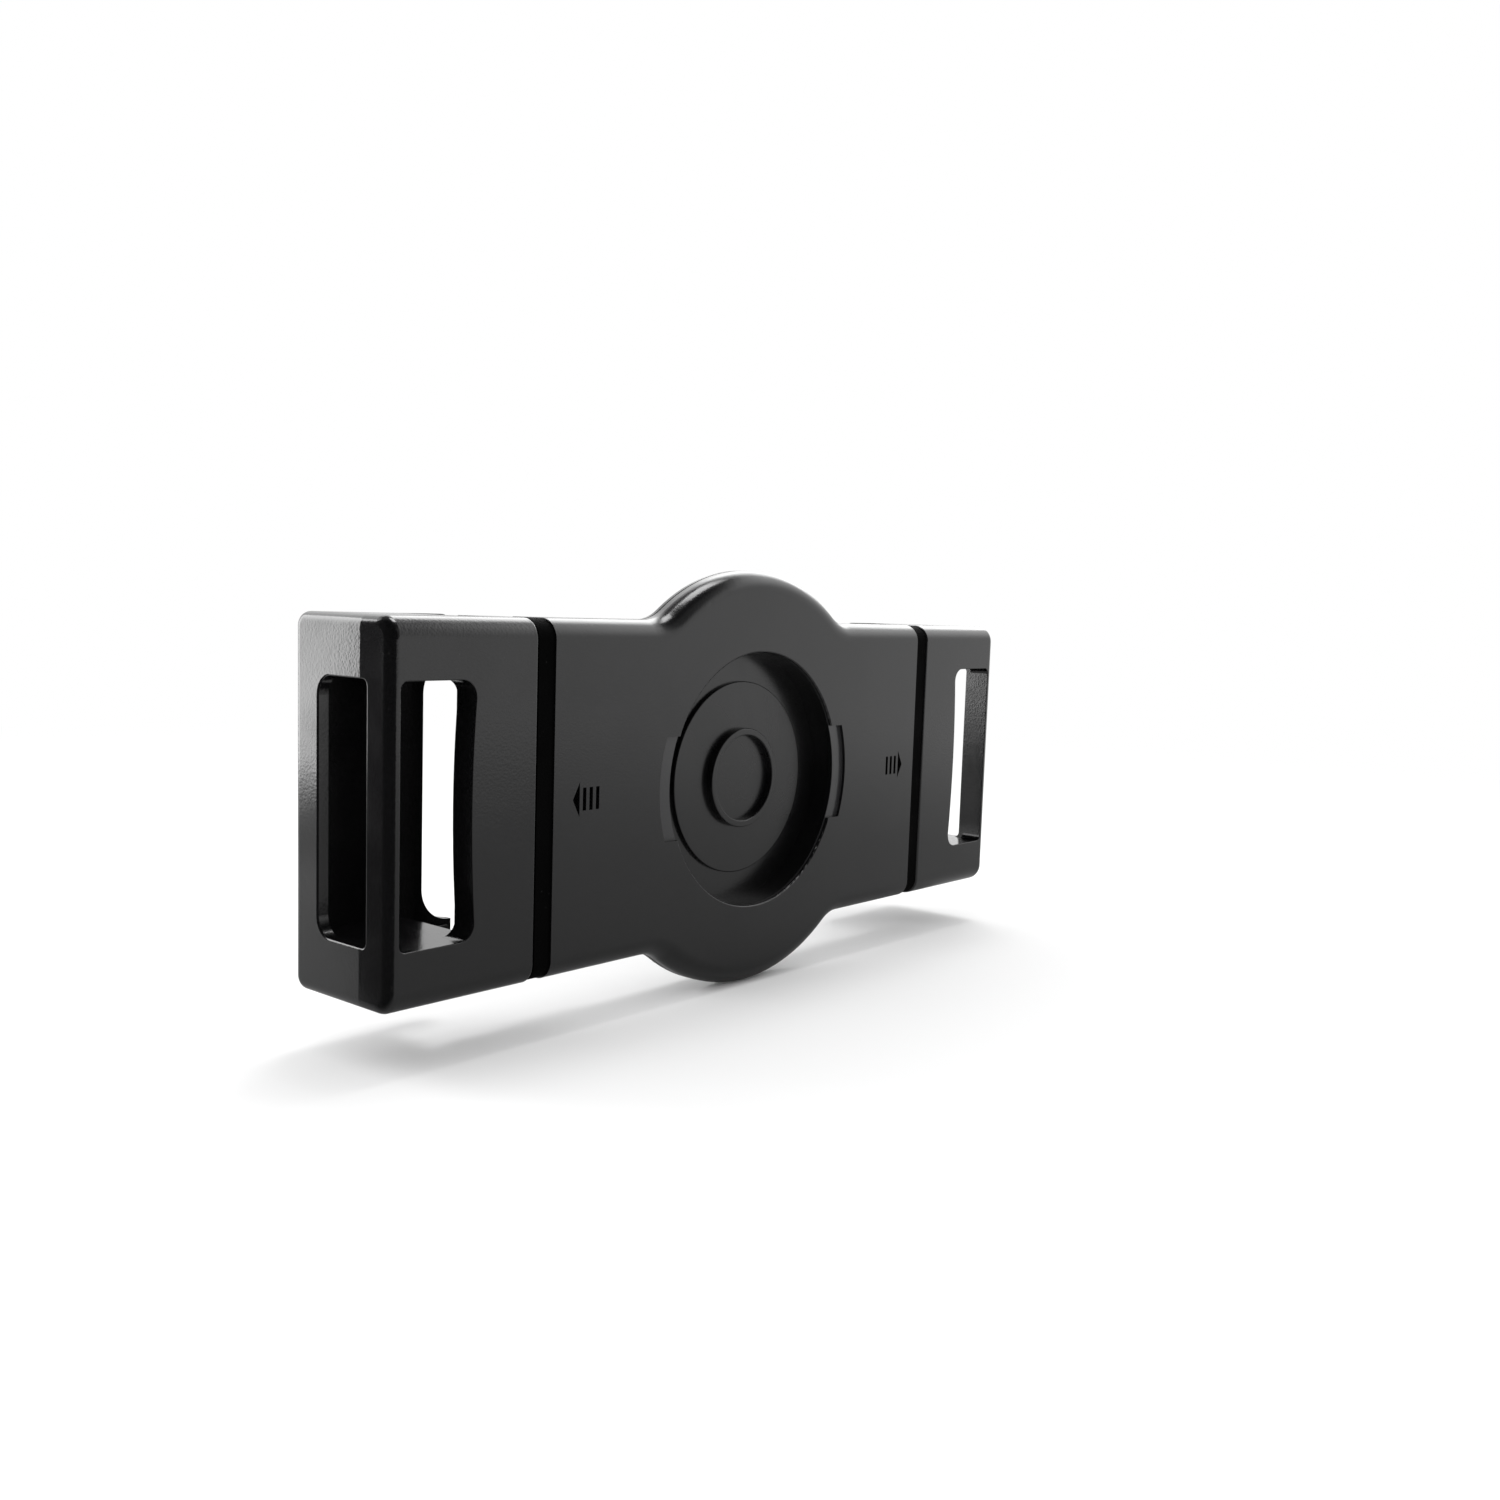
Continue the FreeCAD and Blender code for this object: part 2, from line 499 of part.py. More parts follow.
def make_front_plate():
    """Front moulding: shallow tray that closes the shell and carries the mechanism."""
    body = new_body("front_plate")
    body_outline(body, "flange", d("shell_depth"), d("flange"), HUB, d("hub_blend"))
    seam = number(d("shell_depth"))
    end = number(d("body_half_length"))
    round_edges(body, "flange_seam", lambda m, c: near(m.y, seam) and not near(abs(m.x), end),
                d("seam_bevel"), "PartDesign::Chamfer")
    body_outline(body, "tray", FLANGE_FACE, "(%s - %s)" % (BODY_FACE, FLANGE_FACE),
                 FRONT_HUB, d("front_blend"))
    face = number(BODY_FACE)
    round_edges(body, "plate_bevel",
                lambda m, c: near(m.y, face) and not near(abs(m.x), end),
                d("front_bevel"), "PartDesign::Chamfer")
    hollow_out(body, "plate_room", d("shell_depth"), "(%s - Dims.shell_depth)" % PLATE_INSIDE,
               FRONT_HUB)

    guides = new_sketch(body, "arm_guides", "XZ_Plane", SLIDE_REAR)
    for sx in ("", "-"):
        for sz in ("", "-"):
            x_ends = [sx + RAIL_START, sx + "(Dims.body_half_length - Dims.guide_inset)"]
            z_ends = [sz + GUIDE_IN, sz + GUIDE_OUT]
            x_ends.sort(key=number)
            z_ends.sort(key=number)
            add_rectangle(guides, x_ends[0], x_ends[1], z_ends[0], z_ends[1])
        z_ends = [sx + "(%s + Dims.slide_clearance)" % RACK_BACK, sx + LUG_OUT]
        z_ends.sort(key=number)
        add_rectangle(guides, "-" + d("stop_half"), d("stop_half"), z_ends[0], z_ends[1])
    pad(body, guides, "(%s - %s + 0.5 * Dims.wall)" % (PLATE_INSIDE, SLIDE_REAR))

    lanes = new_sketch(body, "spring_lanes", "XZ_Plane", PLATE_INSIDE)
    half_lane = "(Dims.spring_radius + Dims.lane_clearance)"
    for sign, other in (("", "-"), ("-", "")):
        x_ends = [other + "(Dims.spring_fixed + Dims.lane_run)",
                  sign + "(Dims.spring_moving + Dims.travel + Dims.lane_run)"]
        x_ends.sort(key=number)
        z_mid = other + SPRING_LANE
        add_rectangle(lanes, x_ends[0], x_ends[1], "(%s - %s)" % (z_mid, half_lane),
                      "(%s + %s)" % (z_mid, half_lane))
    pocket(body, lanes, d("lane_depth"))

    anchors = new_sketch(body, "anchor_holes", "XZ_Plane", PLATE_INSIDE)
    for other in ("", "-"):
        add_circle(anchors, other + d("spring_fixed"), other + SPRING_LANE, d("pin_radius"))
    pocket(body, anchors, "(Dims.lane_depth + Dims.anchor_grip)")

    shanks = new_sketch(body, "plate_holes", "XZ_Plane", PLATE_INSIDE)
    sinks = new_sketch(body, "plate_sinks", "XZ_Plane", BODY_FACE)
    for x, z in MID_SCREWS:
        add_circle(shanks, x, z, "(Dims.screw_radius + Dims.slot_clearance)")
        add_circle(sinks, x, z, "(Dims.screw_head_radius + Dims.slot_clearance)")
    add_circle(shanks, "0", "0", "(Dims.gear_bore - Dims.gear_clearance)")
    add_circle(sinks, "0", "0", d("pin_head_radius"))
    pocket(body, shanks, d("wall"))
    pocket(body, sinks, d("screw_head"), False)
    holes = new_sketch(body, "flange_holes", "XZ_Plane", d("shell_depth"))
    for x, z in FLANGE_SCREWS:
        add_circle(holes, x, z, "(Dims.screw_radius + Dims.slot_clearance)")
    pocket(body, holes, d("flange"))
    return body


def make_socket_disc():
    """Disc with its locating ring, staked to the socket's floor."""
    body = new_body("socket_disc")
    disc = new_sketch(body, "disc", "XZ_Plane", DISC_FACE)
    add_circle(disc, "0", "0", d("disc_radius"))
    pad(body, disc, d("disc_height"))
    ring = new_sketch(body, "ring", "XZ_Plane", DISC_FACE)
    add_circle(ring, "0", "0", d("ring_radius"))
    add_circle(ring, "0", "0", "(Dims.ring_radius - Dims.ring_wall)")
    pad(body, ring, d("ring_height"), False)
    shafts = new_sketch(body, "stakes", "XZ_Plane", d("socket_depth"))
    heads = new_sketch(body, "stake_heads", "XZ_Plane",
                       "(%s - Dims.stake_head)" % SOCKET_BACK)
    for x, z in stake_places():
        add_circle(shafts, x, z, d("stake_radius"))
        add_circle(heads, x, z, d("stake_head_radius"))
    pad(body, shafts, "(Dims.socket_wall - Dims.stake_head)")
    pad(body, heads, "(Dims.stake_head - 0.5 * Dims.end_play)")
    rim = number(d("disc_radius"))
    face = number(DISC_FACE)
    round_edges(body, "disc_edge",
                lambda m, c: near(m.y, face) and near(math.hypot(m.x, m.z), rim), d("disc_edge"))
    ring_top = number("%s - Dims.ring_height" % DISC_FACE)
    round_edges(body, "ring_edge", lambda m, c: near(m.y, ring_top), d("ring_edge"))
    return body


HALF_TURN = FreeCAD.Placement(Vec(0, 0, 0), FreeCAD.Rotation(Vec(0, 1, 0), 180))


def place(body, side):
    """The left side is the right side turned half round the socket's axis."""
    if side == "left":
        body.Placement = HALF_TURN


def make_collar(side):
    """Black end collar with the slot that the slider runs through."""
    body = new_body(side + "_collar")
    start = "(Dims.body_half_length - Dims.plug_length)"
    ring = new_sketch(body, side + "_collar_ring", "YZ_Plane", d("body_half_length"))
    height = "(Dims.body_half_height - Dims.collar_recess)"
    add_rectangle(ring, d("collar_recess"), "(%s - Dims.collar_recess)" % BODY_FACE,
                  "-" + height, height)
    pad(body, ring, d("collar_length"))
    recess = number(d("collar_recess"))
    tall = number(height)
    deep = number("%s - Dims.collar_recess" % BODY_FACE)
    round_edges(body, side + "_collar_round",
                lambda m, c: along(c, "x") and near(m.y, recess) and near(abs(m.z), tall),
                "(Dims.rear_round - Dims.collar_recess)")
    round_edges(body, side + "_collar_bevel",
                lambda m, c: along(c, "x") and near(m.y, deep) and near(abs(m.z), tall),
                d("front_bevel"), "PartDesign::Chamfer")
    plug = new_sketch(body, side + "_collar_plug", "YZ_Plane", start)
    plug_height = "(%s - Dims.plug_clearance)" % INNER_HEIGHT
    add_rectangle(plug, "(Dims.wall + Dims.plug_clearance)",
                  "(%s - Dims.plug_clearance)" % PLATE_INSIDE, "-" + plug_height, plug_height)
    pad(body, plug, d("plug_length"))
    slot = new_sketch(body, side + "_collar_slot", "YZ_Plane", "(%s - Dims.cut_over)" % start)
    slot_height = "(%s + Dims.slide_clearance)" % ARM_OUTER
    add_rectangle(slot, SOCKET_BACK, PLATE_INSIDE, "-" + slot_height, slot_height)
    pocket(body, slot, "(Dims.plug_length + Dims.collar_length + 2 * Dims.cut_over)")
    place(body, side)
    return body


def make_jaw(side):
    """C-shaped jaw: windows in its rear, side and front, and fingers over the tablet."""
    body = new_body(side + "_jaw")
    section = new_sketch(body, side + "_jaw_section", "XY_Plane", "-" + d("body_half_height"))
    add_polygon(section, [
        (JAW_INNER, "0"), (JAW_REACH, "0"), (JAW_REACH, d("jaw_depth")),
        (LIP_REACH, d("jaw_depth")), (LIP_REACH, LIP_INSIDE),
        (JAW_STOP, LIP_INSIDE), (JAW_STOP, d("jaw_rear")),
        (JAW_BOX_END, d("jaw_rear")), (JAW_BOX_END, BODY_FACE), (JAW_INNER, BODY_FACE)])
    pad(body, section, "(2 * Dims.body_half_height)")
    reach = number(JAW_REACH)
    tall = number(d("body_half_height"))
    front = number(d("jaw_depth"))
    inner = number(JAW_INNER)
    lip_mid = number("Dims.jaw_depth - 0.5 * Dims.lip_thick")
    finger = number(LIP_REACH)
    round_edges(body, side + "_finger_corners",
                lambda m, c: along(c, "y") and near(m.y, lip_mid) and near(m.x, finger),
                d("finger_round"))
    round_edges(body, side + "_jaw_rear_round",
                lambda m, c: along(c, "x") and near(m.y, 0) and near(abs(m.z), tall),
                d("rear_round"))
    round_edges(body, side + "_jaw_front_round",
                lambda m, c: along(c, "x") and near(m.y, front) and near(abs(m.z), tall),
                d("jaw_front_round"))
    corner = tall - number(d("rear_round"))
    round_edges(body, side + "_jaw_end_round",
                lambda m, c: near(m.x, inner) and near(c.x, 0)
                and (near(m.y, 0) or abs(m.z) > corner and not along(c, "z")),
                d("jaw_end_round"))
    round_edges(body, side + "_jaw_side_round",
                lambda m, c: near(m.x, reach) and abs(c.x) < 0.001, d("jaw_edge"))

    rear = new_sketch(body, side + "_rear_window", "XZ_Plane", "0")
    add_bowed_window(rear)
    pocket(body, rear, d("jaw_rear"))
    half = number(WINDOW_HALF)
    inside = number(WINDOW_INNER)
    rear_mid = number("0.5 * Dims.jaw_rear")
    round_edges(body, side + "_rear_window_corners",
                lambda m, c: along(c, "y") and near(m.y, rear_mid) and near(abs(m.z), half)
                and near(m.x, inside), d("window_round"))
    outside = number(WINDOW_OUTER)
    round_edges(body, side + "_rear_window_outer",
                lambda m, c: along(c, "y") and near(m.y, rear_mid) and near(abs(m.z), half)
                and near(m.x, outside), d("room_round"))
    room = new_sketch(body, side + "_jaw_room", "XZ_Plane", d("jaw_rear"))
    add_rectangle(room, "(%s - Dims.cut_over)" % JAW_STOP, WINDOW_OUTER,
                  "-" + WINDOW_HALF, WINDOW_HALF)
    pocket(body, room, "(%s - Dims.jaw_rear)" % LIP_INSIDE)

    flank = new_sketch(body, side + "_side_window", "YZ_Plane", WINDOW_OUTER)
    add_rectangle(flank, d("side_window_rear"), d("side_window_front"),
                  "-" + WINDOW_HALF, WINDOW_HALF)
    pocket(body, flank, d("jaw_side"))
    flank_mid = number("%s - 0.5 * Dims.jaw_side" % JAW_REACH)
    flank_rear = number(d("side_window_rear"))
    flank_front = number(d("side_window_front"))
    round_edges(body, side + "_side_window_front_corners",
                lambda m, c: along(c, "x") and near(m.x, flank_mid) and near(m.y, flank_front),
                d("side_window_round"))
    round_edges(body, side + "_side_window_rear_corners",
                lambda m, c: along(c, "x") and near(m.x, flank_mid) and near(m.y, flank_rear),
                d("side_window_tight"))

    cut = new_sketch(body, side + "_lip_cut", "XZ_Plane", LIP_INSIDE)
    add_rectangle(cut, "(%s - Dims.cut_over)" % LIP_REACH, LIP_CUT, "-" + LIP_CUT_HALF, LIP_CUT_HALF)
    pocket(body, cut, d("lip_thick"))
    cut_edge = number(LIP_CUT)
    round_edges(body, side + "_lip_cut_corners",
                lambda m, c: along(c, "y") and near(m.y, lip_mid) and near(m.x, cut_edge),
                d("lip_cut_round"))

    round_edges(body, side + "_side_window_edge",
                lambda m, c: near(m.x, reach) and abs(m.z) < half + 0.1
                and flank_rear - 0.1 < m.y < flank_front + 0.1, d("window_edge"))
    round_edges(body, side + "_rear_window_edge",
                lambda m, c: near(m.y, 0) and inside - 0.1 < m.x and abs(m.z) < half + 0.1,
                d("rear_window_edge"))

    slot = new_sketch(body, side + "_jaw_slot", "YZ_Plane", JAW_INNER)
    slot_height = "(%s + Dims.slot_clearance)" % ARM_OUTER
    add_rectangle(slot, "(%s - Dims.slot_clearance)" % SLIDE_REAR,
                  "(%s + Dims.slot_clearance)" % SLIDE_FRONT, "-" + slot_height, slot_height)
    pocket(body, slot, "(Dims.yoke_into_jaw + Dims.slot_clearance)")

    shanks = new_sketch(body, side + "_jaw_holes", "XZ_Plane", d("screw_tip"))
    sinks = new_sketch(body, side + "_jaw_sinks", "XZ_Plane", BODY_FACE)
    for z in jaw_screw_heights():
        add_circle(shanks, JAW_SCREW_X, z, "(Dims.screw_radius + Dims.screw_clearance)")
        add_circle(sinks, JAW_SCREW_X, z, "(Dims.screw_head_radius + Dims.slot_clearance)")
    pocket(body, shanks, "(%s - Dims.screw_tip)" % BODY_FACE)
    pocket(body, sinks, d("screw_head"), False)

    place(body, side)
    return body


def add_bowed_window(sketch):
    """Rear window whose near edge bows outwards."""
    inner = number(WINDOW_INNER)
    half = number(WINDOW_HALF)
    bow = number(d("window_bow"))
    outer = number(WINDOW_OUTER)
    arc_shape = Part.Arc(Vec(inner, half, 0), Vec(inner + bow, 0, 0), Vec(inner, -half, 0))
    bottom = sketch.addGeometry(Part.LineSegment(Vec(inner, -half, 0), Vec(outer, -half, 0)), False)
    far = sketch.addGeometry(Part.LineSegment(Vec(outer, -half, 0), Vec(outer, half, 0)), False)
    top = sketch.addGeometry(Part.LineSegment(Vec(outer, half, 0), Vec(inner, half, 0)), False)
    arc = sketch.addGeometry(arc_shape, False)
    starts_high = sketch.getPoint(arc, 1).y > 0
    high_end, low_end = (1, 2) if starts_high else (2, 1)
    for pair in ((bottom, 2, far, 1), (far, 2, top, 1), (top, 2, arc, high_end),
                 (arc, low_end, bottom, 1)):
        sketch.addConstraint(Sketcher.Constraint("Coincident", *pair))
    hold_point(sketch, bottom, 1, WINDOW_INNER, "-" + WINDOW_HALF)
    hold_point(sketch, far, 1, WINDOW_OUTER, "-" + WINDOW_HALF)
    hold_point(sketch, top, 1, WINDOW_OUTER, WINDOW_HALF)
    hold_point(sketch, top, 2, WINDOW_INNER, WINDOW_HALF)
    radius = "((%s ^ 2 + Dims.window_bow ^ 2) / (2 * Dims.window_bow))" % WINDOW_HALF
    index = sketch.addConstraint(Sketcher.Constraint("Radius", arc, number(radius)))
    sketch.setExpression("Constraints[%d]" % index, radius)


def jaw_screw_heights():
    return [s + place for place in (d("jaw_screw_near"), ARM_MIDDLE) for s in ("", "-")]


def make_slider(side):
    """Steel slider: two guided arms, a yoke screwed to the jaw and a rack."""
    body = new_body(side + "_slider")
    plate = new_sketch(body, side + "_slider_plate", "XZ_Plane", SLIDE_REAR)
    end = "-" + RACK_END
    lug_near = "(Dims.lug_length - %s)" % RACK_END
    tab_near = "(Dims.spring_moving - Dims.tab_half)"
    tab_far = "(Dims.spring_moving + Dims.tab_half)"
    add_polygon(plate, [
        (SLIDE_END, "-" + ARM_OUTER), (SLIDE_END, ARM_OUTER),
        (d("arm_end"), ARM_OUTER), (d("arm_end"), ARM_INNER),
        (YOKE, ARM_INNER), (YOKE, "-" + TIP_LINE),
        (end, "-" + TIP_LINE), (end, "-" + LUG_OUT),
        (lug_near, "-" + LUG_OUT), (lug_near, "-" + RACK_BACK),
        (tab_near, "-" + RACK_BACK), (tab_near, "-" + TAB_OUT),
        (tab_far, "-" + TAB_OUT), (tab_far, "-" + RACK_BACK),
        (YOKE, "-" + RACK_BACK), (YOKE, "-" + ARM_INNER),
        (d("arm_end"), "-" + ARM_INNER), (d("arm_end"), "-" + ARM_OUTER)])
    pad(body, plate, d("slide_thick"))

    gap = new_sketch(body, side + "_rack_gap", "XZ_Plane", SLIDE_REAR)
    slope = math.tan(math.radians(20.0))
    pitch_half = "(0.25 * pi * Dims.gear_module + 0.5 * Dims.gear_backlash)"
    tip_half = "(%s + %.6f * Dims.gear_module + 0.3 * %.6f)" % (pitch_half, slope, slope)
    root_half = "(%s - 1.25 * %.6f * Dims.gear_module)" % (pitch_half, slope)
    teeth_left = "floor(%s / (pi * Dims.gear_module))" % RACK_END
    first = "(-1 * pi * Dims.gear_module * %s)" % teeth_left
    above = "-(%s - 0.3)" % TIP_LINE
    root = "-(%s + 1.25 * Dims.gear_module)" % PITCH_RADIUS
    add_polygon(gap, [("(%s - %s)" % (first, tip_half), above),
                      ("(%s + %s)" % (first, tip_half), above),
                      ("(%s + %s)" % (first, root_half), root),
                      ("(%s - %s)" % (first, root_half), root)])
    single = pocket(body, gap, d("slide_thick"))
    row = body.newObject("PartDesign::LinearPattern", side + "_rack_teeth")
    row.Originals = [single]
    row.Direction = (gap, ["H_Axis"])
    count = int(number(teeth_left)) + 3
    row.Length = number("pi * Dims.gear_module") * (count - 1)
    row.Occurrences = count
    body.Tip = row
    doc.recompute()
    if row.Shape.Volume >= single.Shape.Volume - 1:
        raise ValueError("rack teeth missing")

    holes = new_sketch(body, side + "_slider_holes", "XZ_Plane", SLIDE_REAR)
    for z in jaw_screw_heights():
        add_circle(holes, JAW_SCREW_X, z, "(Dims.screw_radius + Dims.slot_clearance)")
    add_circle(holes, d("spring_moving"), "-" + SPRING_LANE, d("pin_radius"))
    pocket(body, holes, d("slide_thick"))
    seat = new_sketch(body, side + "_rivet_seat", "XZ_Plane", SLIDE_FRONT)
    add_rectangle(seat, "(%s - Dims.cut_over)" % tab_near, "(%s + Dims.cut_over)" % tab_far,
                  "-(%s + Dims.cut_over)" % TAB_OUT, "-(%s + 0.5 * Dims.cut_over)" % RACK_BACK)
    pocket(body, seat, "(Dims.slide_thick - Dims.rivet_web)", False)
    place(body, side)
    return body


def involute_tooth(radius_base, radius_tip, half_angle):
    """Points of one flank from the base circle to the tip, leaning inwards."""
    points = []
    last = math.sqrt((radius_tip / radius_base) ** 2 - 1)
    for step in range(7):
        roll = last * step / 6
        radius = radius_base * math.sqrt(1 + roll * roll)
        angle = half_angle - (roll - math.atan(roll))
        points.append((radius, angle))
    return points


def make_pinion():
    """Spur pinion with involute teeth, one of which points straight up at rest."""
    module = number(d("gear_module"))
    teeth = int(number(d("gear_teeth")))
    pitch = number(PITCH_RADIUS)
    pressure = math.radians(20.0)
    base = pitch * math.cos(pressure)
    tip = pitch + module
    root = pitch - 1.25 * module
    play = number(d("gear_backlash")) / 2
    half_pitch = (math.pi * module / 4 - play / 2) / pitch
    half_base = half_pitch + math.tan(pressure) - pressure
    flank = involute_tooth(base, tip, half_base)
    rear = number(SLIDE_REAR)
    thick = number(d("slide_thick"))
    edges = []
    outline = []
    for index in range(teeth):
        middle = math.pi / 2 + 2 * math.pi * index / teeth
        rising = [(r, middle - a) for r, a in flank]
        falling = [(r, middle + a) for r, a in reversed(flank)]
        outline.append([(root, rising[0][1])] + rising + falling + [(root, falling[-1][1])])
    for index, tooth in enumerate(outline):
        points = [Vec(r * math.cos(a), rear, r * math.sin(a)) for r, a in tooth]
        for start, stop in zip(points, points[1:]):
            edges.append(Part.LineSegment(start, stop).toShape())
        following = outline[(index + 1) % teeth][0]
        last_r, last_a = tooth[-1]
        next_a = following[1] if following[1] > last_a else following[1] + 2 * math.pi
        middle = (last_a + next_a) / 2
        ends = [Vec(root * math.cos(a), rear, root * math.sin(a)) for a in (last_a, middle, next_a)]
        edges.append(Part.Arc(ends[0], ends[1], ends[2]).toShape())
    face = Part.Face(Part.Wire(Part.__sortEdges__(edges)))
    solid = face.extrude(Vec(0, thick, 0))
    bore = Part.makeCylinder(number(d("gear_bore")), thick, Vec(0, rear, 0), Vec(0, 1, 0))
    gear = doc.addObject("Part::Feature", "pinion")
    gear.Label = "pinion"
    gear.Shape = solid.cut(bore)
    return gear


def cylinder_along_y(label, radius, y_low, y_high, x="0", z="0"):
    """Part cylinder along +Y, bound to the sheet."""
    shape = doc.addObject("Part::Cylinder", label)
    shape.setExpression("Radius", radius)
    shape.setExpression("Height", "(%s) - (%s)" % (y_high, y_low))
    shape.Placement = FreeCAD.Placement(Vec(0, 0, 0), FreeCAD.Rotation(Vec(1, 0, 0), -90))
    shape.setExpression(".Placement.Base.x", x)
    shape.setExpression(".Placement.Base.y", y_low)
    shape.setExpression(".Placement.Base.z", z)
    return shape


def fuse_all(label, shapes):
    fused = doc.addObject("Part::MultiFuse", label)
    fused.Label = label
    fused.Shapes = shapes
    return fused


def group(label, shapes):
    """Separate identical solids in one node."""
    compound = doc.addObject("Part::Compound", label)
    compound.Label = label
    compound.Links = shapes
    return compound


def make_pinion_pin():
    """Headed pin pressed into the front plate, on which the pinion turns."""
    reach = "(%s + 0.5 * Dims.slide_clearance)" % SOCKET_BACK
    sink = "(%s - Dims.screw_head)" % BODY_FACE
    shank = cylinder_along_y("pin_shank", "(Dims.gear_bore - Dims.gear_clearance)", reach, sink)
    head = cylinder_along_y("pin_head", d("pin_head_radius"), sink, "(%s + Dims.pin_head)" % sink)
    return fuse_all("pinion_pin", [shank, head])


def make_screw(label, x, z, tip=d("screw_tip"), seat="(%s - Dims.screw_head)" % BODY_FACE):
    """Pan-head screw along Y with its head towards the tablet."""
    shank = cylinder_along_y(label + "_shank", d("screw_radius"), tip, seat, x, z)
    head = cylinder_along_y(label + "_head", d("screw_head_radius"), seat,
                            "(%s + Dims.screw_head - Dims.end_play)" % seat, x, z)
    return fuse_all(label, [shank, head])


def make_jaw_screws(side):
    screws = [make_screw("%s_jaw_screw_%d" % (side, i), JAW_SCREW_X, z)
              for i, z in enumerate(jaw_screw_heights(), start=1)]
    node = group(side + "_jaw_screws", screws)
    place(node, side)
    return node


def make_spring(side):
    """Tension spring as a plain tube with its two end loops."""
    lane = "-" + SPRING_LANE
    fixed = "-" + d("spring_fixed")
    low = "(%s + Dims.spring_loop_gap)" % fixed
    high = "(Dims.spring_moving - Dims.spring_loop_gap)"
    pieces = []
    for name, radius in (("outer", d("spring_radius")),
                         ("inner", "(Dims.spring_radius - 2 * Dims.spring_wire)")):
        tube = doc.addObject("Part::Cylinder", "%s_spring_%s" % (side, name))
        tube.setExpression("Radius", radius)
        tube.setExpression("Height", "%s - %s" % (high, low))
        pieces.append(tube)
    coil = doc.addObject("Part::Cut", side + "_spring_coil")
    coil.Base, coil.Tool = pieces
    coil.Placement = FreeCAD.Placement(Vec(0, 0, 0), FreeCAD.Rotation(Vec(0, 1, 0), 90))
    bind_place(coil, low, SPRING_Y, lane)
    parts = [coil]
    for name, x, tail_start, tail_stop in (
            ("fixed", fixed, "(%s + Dims.spring_hook)" % fixed, "(%s + Dims.spring_joint)" % low),
            ("moving", d("spring_moving"), "(%s - Dims.spring_joint)" % high,
             "(Dims.spring_moving - Dims.spring_hook)")):
        loop = doc.addObject("Part::Torus", "%s_spring_%s_loop" % (side, name))
        loop.setExpression("Radius1", d("spring_hook"))
        loop.setExpression("Radius2", d("spring_wire"))
        lying = FreeCAD.Rotation(Vec(1, 0, 0), 90) * FreeCAD.Rotation(Vec(0, 0, 1), 90)
        loop.Placement = FreeCAD.Placement(Vec(0, 0, 0), lying)
        bind_place(loop, x, SPRING_Y, lane)
        tail = doc.addObject("Part::Cylinder", "%s_spring_%s_tail" % (side, name))
        tail.setExpression("Radius", d("spring_wire"))
        tail.setExpression("Height", "%s - %s" % (tail_stop, tail_start))
        tail.Placement = FreeCAD.Placement(Vec(0, 0, 0), FreeCAD.Rotation(Vec(0, 1, 0), 90))
        bind_place(tail, tail_start, SPRING_Y, lane)
        end_disc = doc.addObject("Part::Cylinder", "%s_spring_%s_end" % (side, name))
        end_disc.setExpression("Radius", "(Dims.spring_radius - Dims.spring_wire)")
        end_disc.setExpression("Height", "2 * Dims.spring_wire")
        end_disc.Placement = FreeCAD.Placement(Vec(0, 0, 0), FreeCAD.Rotation(Vec(0, 1, 0), 90))
        bind_place(end_disc, low if name == "fixed" else "(%s - 2 * Dims.spring_wire)" % high,
                   SPRING_Y, lane)
        parts += [loop, tail, end_disc]
    spring = fuse_all(side + "_spring", parts)
    place(spring, side)
    return spring


def bind_place(shape, x, y, z):
    shape.setExpression(".Placement.Base.x", x)
    shape.setExpression(".Placement.Base.y", y)
    shape.setExpression(".Placement.Base.z", z)


def make_spring_anchors():
    """Fixed pins of both springs, pressed into the front plate."""
    pins = []
    for name, sign in (("left", ""), ("right", "-")):
        pins.append(cylinder_along_y("anchor_" + name, d("pin_radius"),
                                     "(%s - Dims.spring_hook)" % SPRING_Y,
                                     "(%s + Dims.anchor_grip)" % LANE_FLOOR,
                                     sign + d("spring_fixed"), sign + SPRING_LANE))
    return group("spring_anchors", pins)


def make_rivet(side):
    """Rivet on the slider that the spring's moving loop hangs on."""
    pin = cylinder_along_y(side + "_rivet_pin", d("pin_radius"), SLIDE_REAR,
                           "(%s - Dims.lane_clearance)" % LANE_FLOOR,
                           d("spring_moving"), "-" + SPRING_LANE)
    web = "(%s + Dims.rivet_web)" % SLIDE_REAR
    shoulder = cylinder_along_y(side + "_rivet_shoulder", d("rivet_shoulder"), web,
                                "(%s + Dims.rivet_step)" % web,
                                d("spring_moving"), "-" + SPRING_LANE)
    node = fuse_all(side + "_spring_rivet", [pin, shoulder])
    place(node, side)
    return node


def make_front_pads():
    """Four rubber pads that the tablet's back rests on."""
    pads = []
    for sx in ("", "-"):
        for sz in ("", "-"):
            name = "pad_%s%s" % ("r" if not sx else "l", "t" if not sz else "b")
            box = doc.addObject("Part::Box", name + "_block")
            box.setExpression("Length", "2 * Dims.pad_half_x")
            box.setExpression("Width", d("pad_thick"))
            box.setExpression("Height", "2 * Dims.pad_half_z")
            bind_place(box, "(%s(Dims.body_half_length - Dims.pad_inset) - Dims.pad_half_x)" % sx,
                       BODY_FACE,
                       "(%s(Dims.body_half_height - Dims.pad_drop) - Dims.pad_half_z)" % sz)
            doc.recompute()
            corners = [int(n[4:]) for n in edges_where(box, lambda m, c: along(c, "y"))]
            rounded = doc.addObject("Part::Fillet", name)
            rounded.Base = box
            radius = number(d("pad_round"))
            rounded.Edges = [(index, radius, radius) for index in corners]
            pads.append(rounded)
    return group("front_pads", pads)


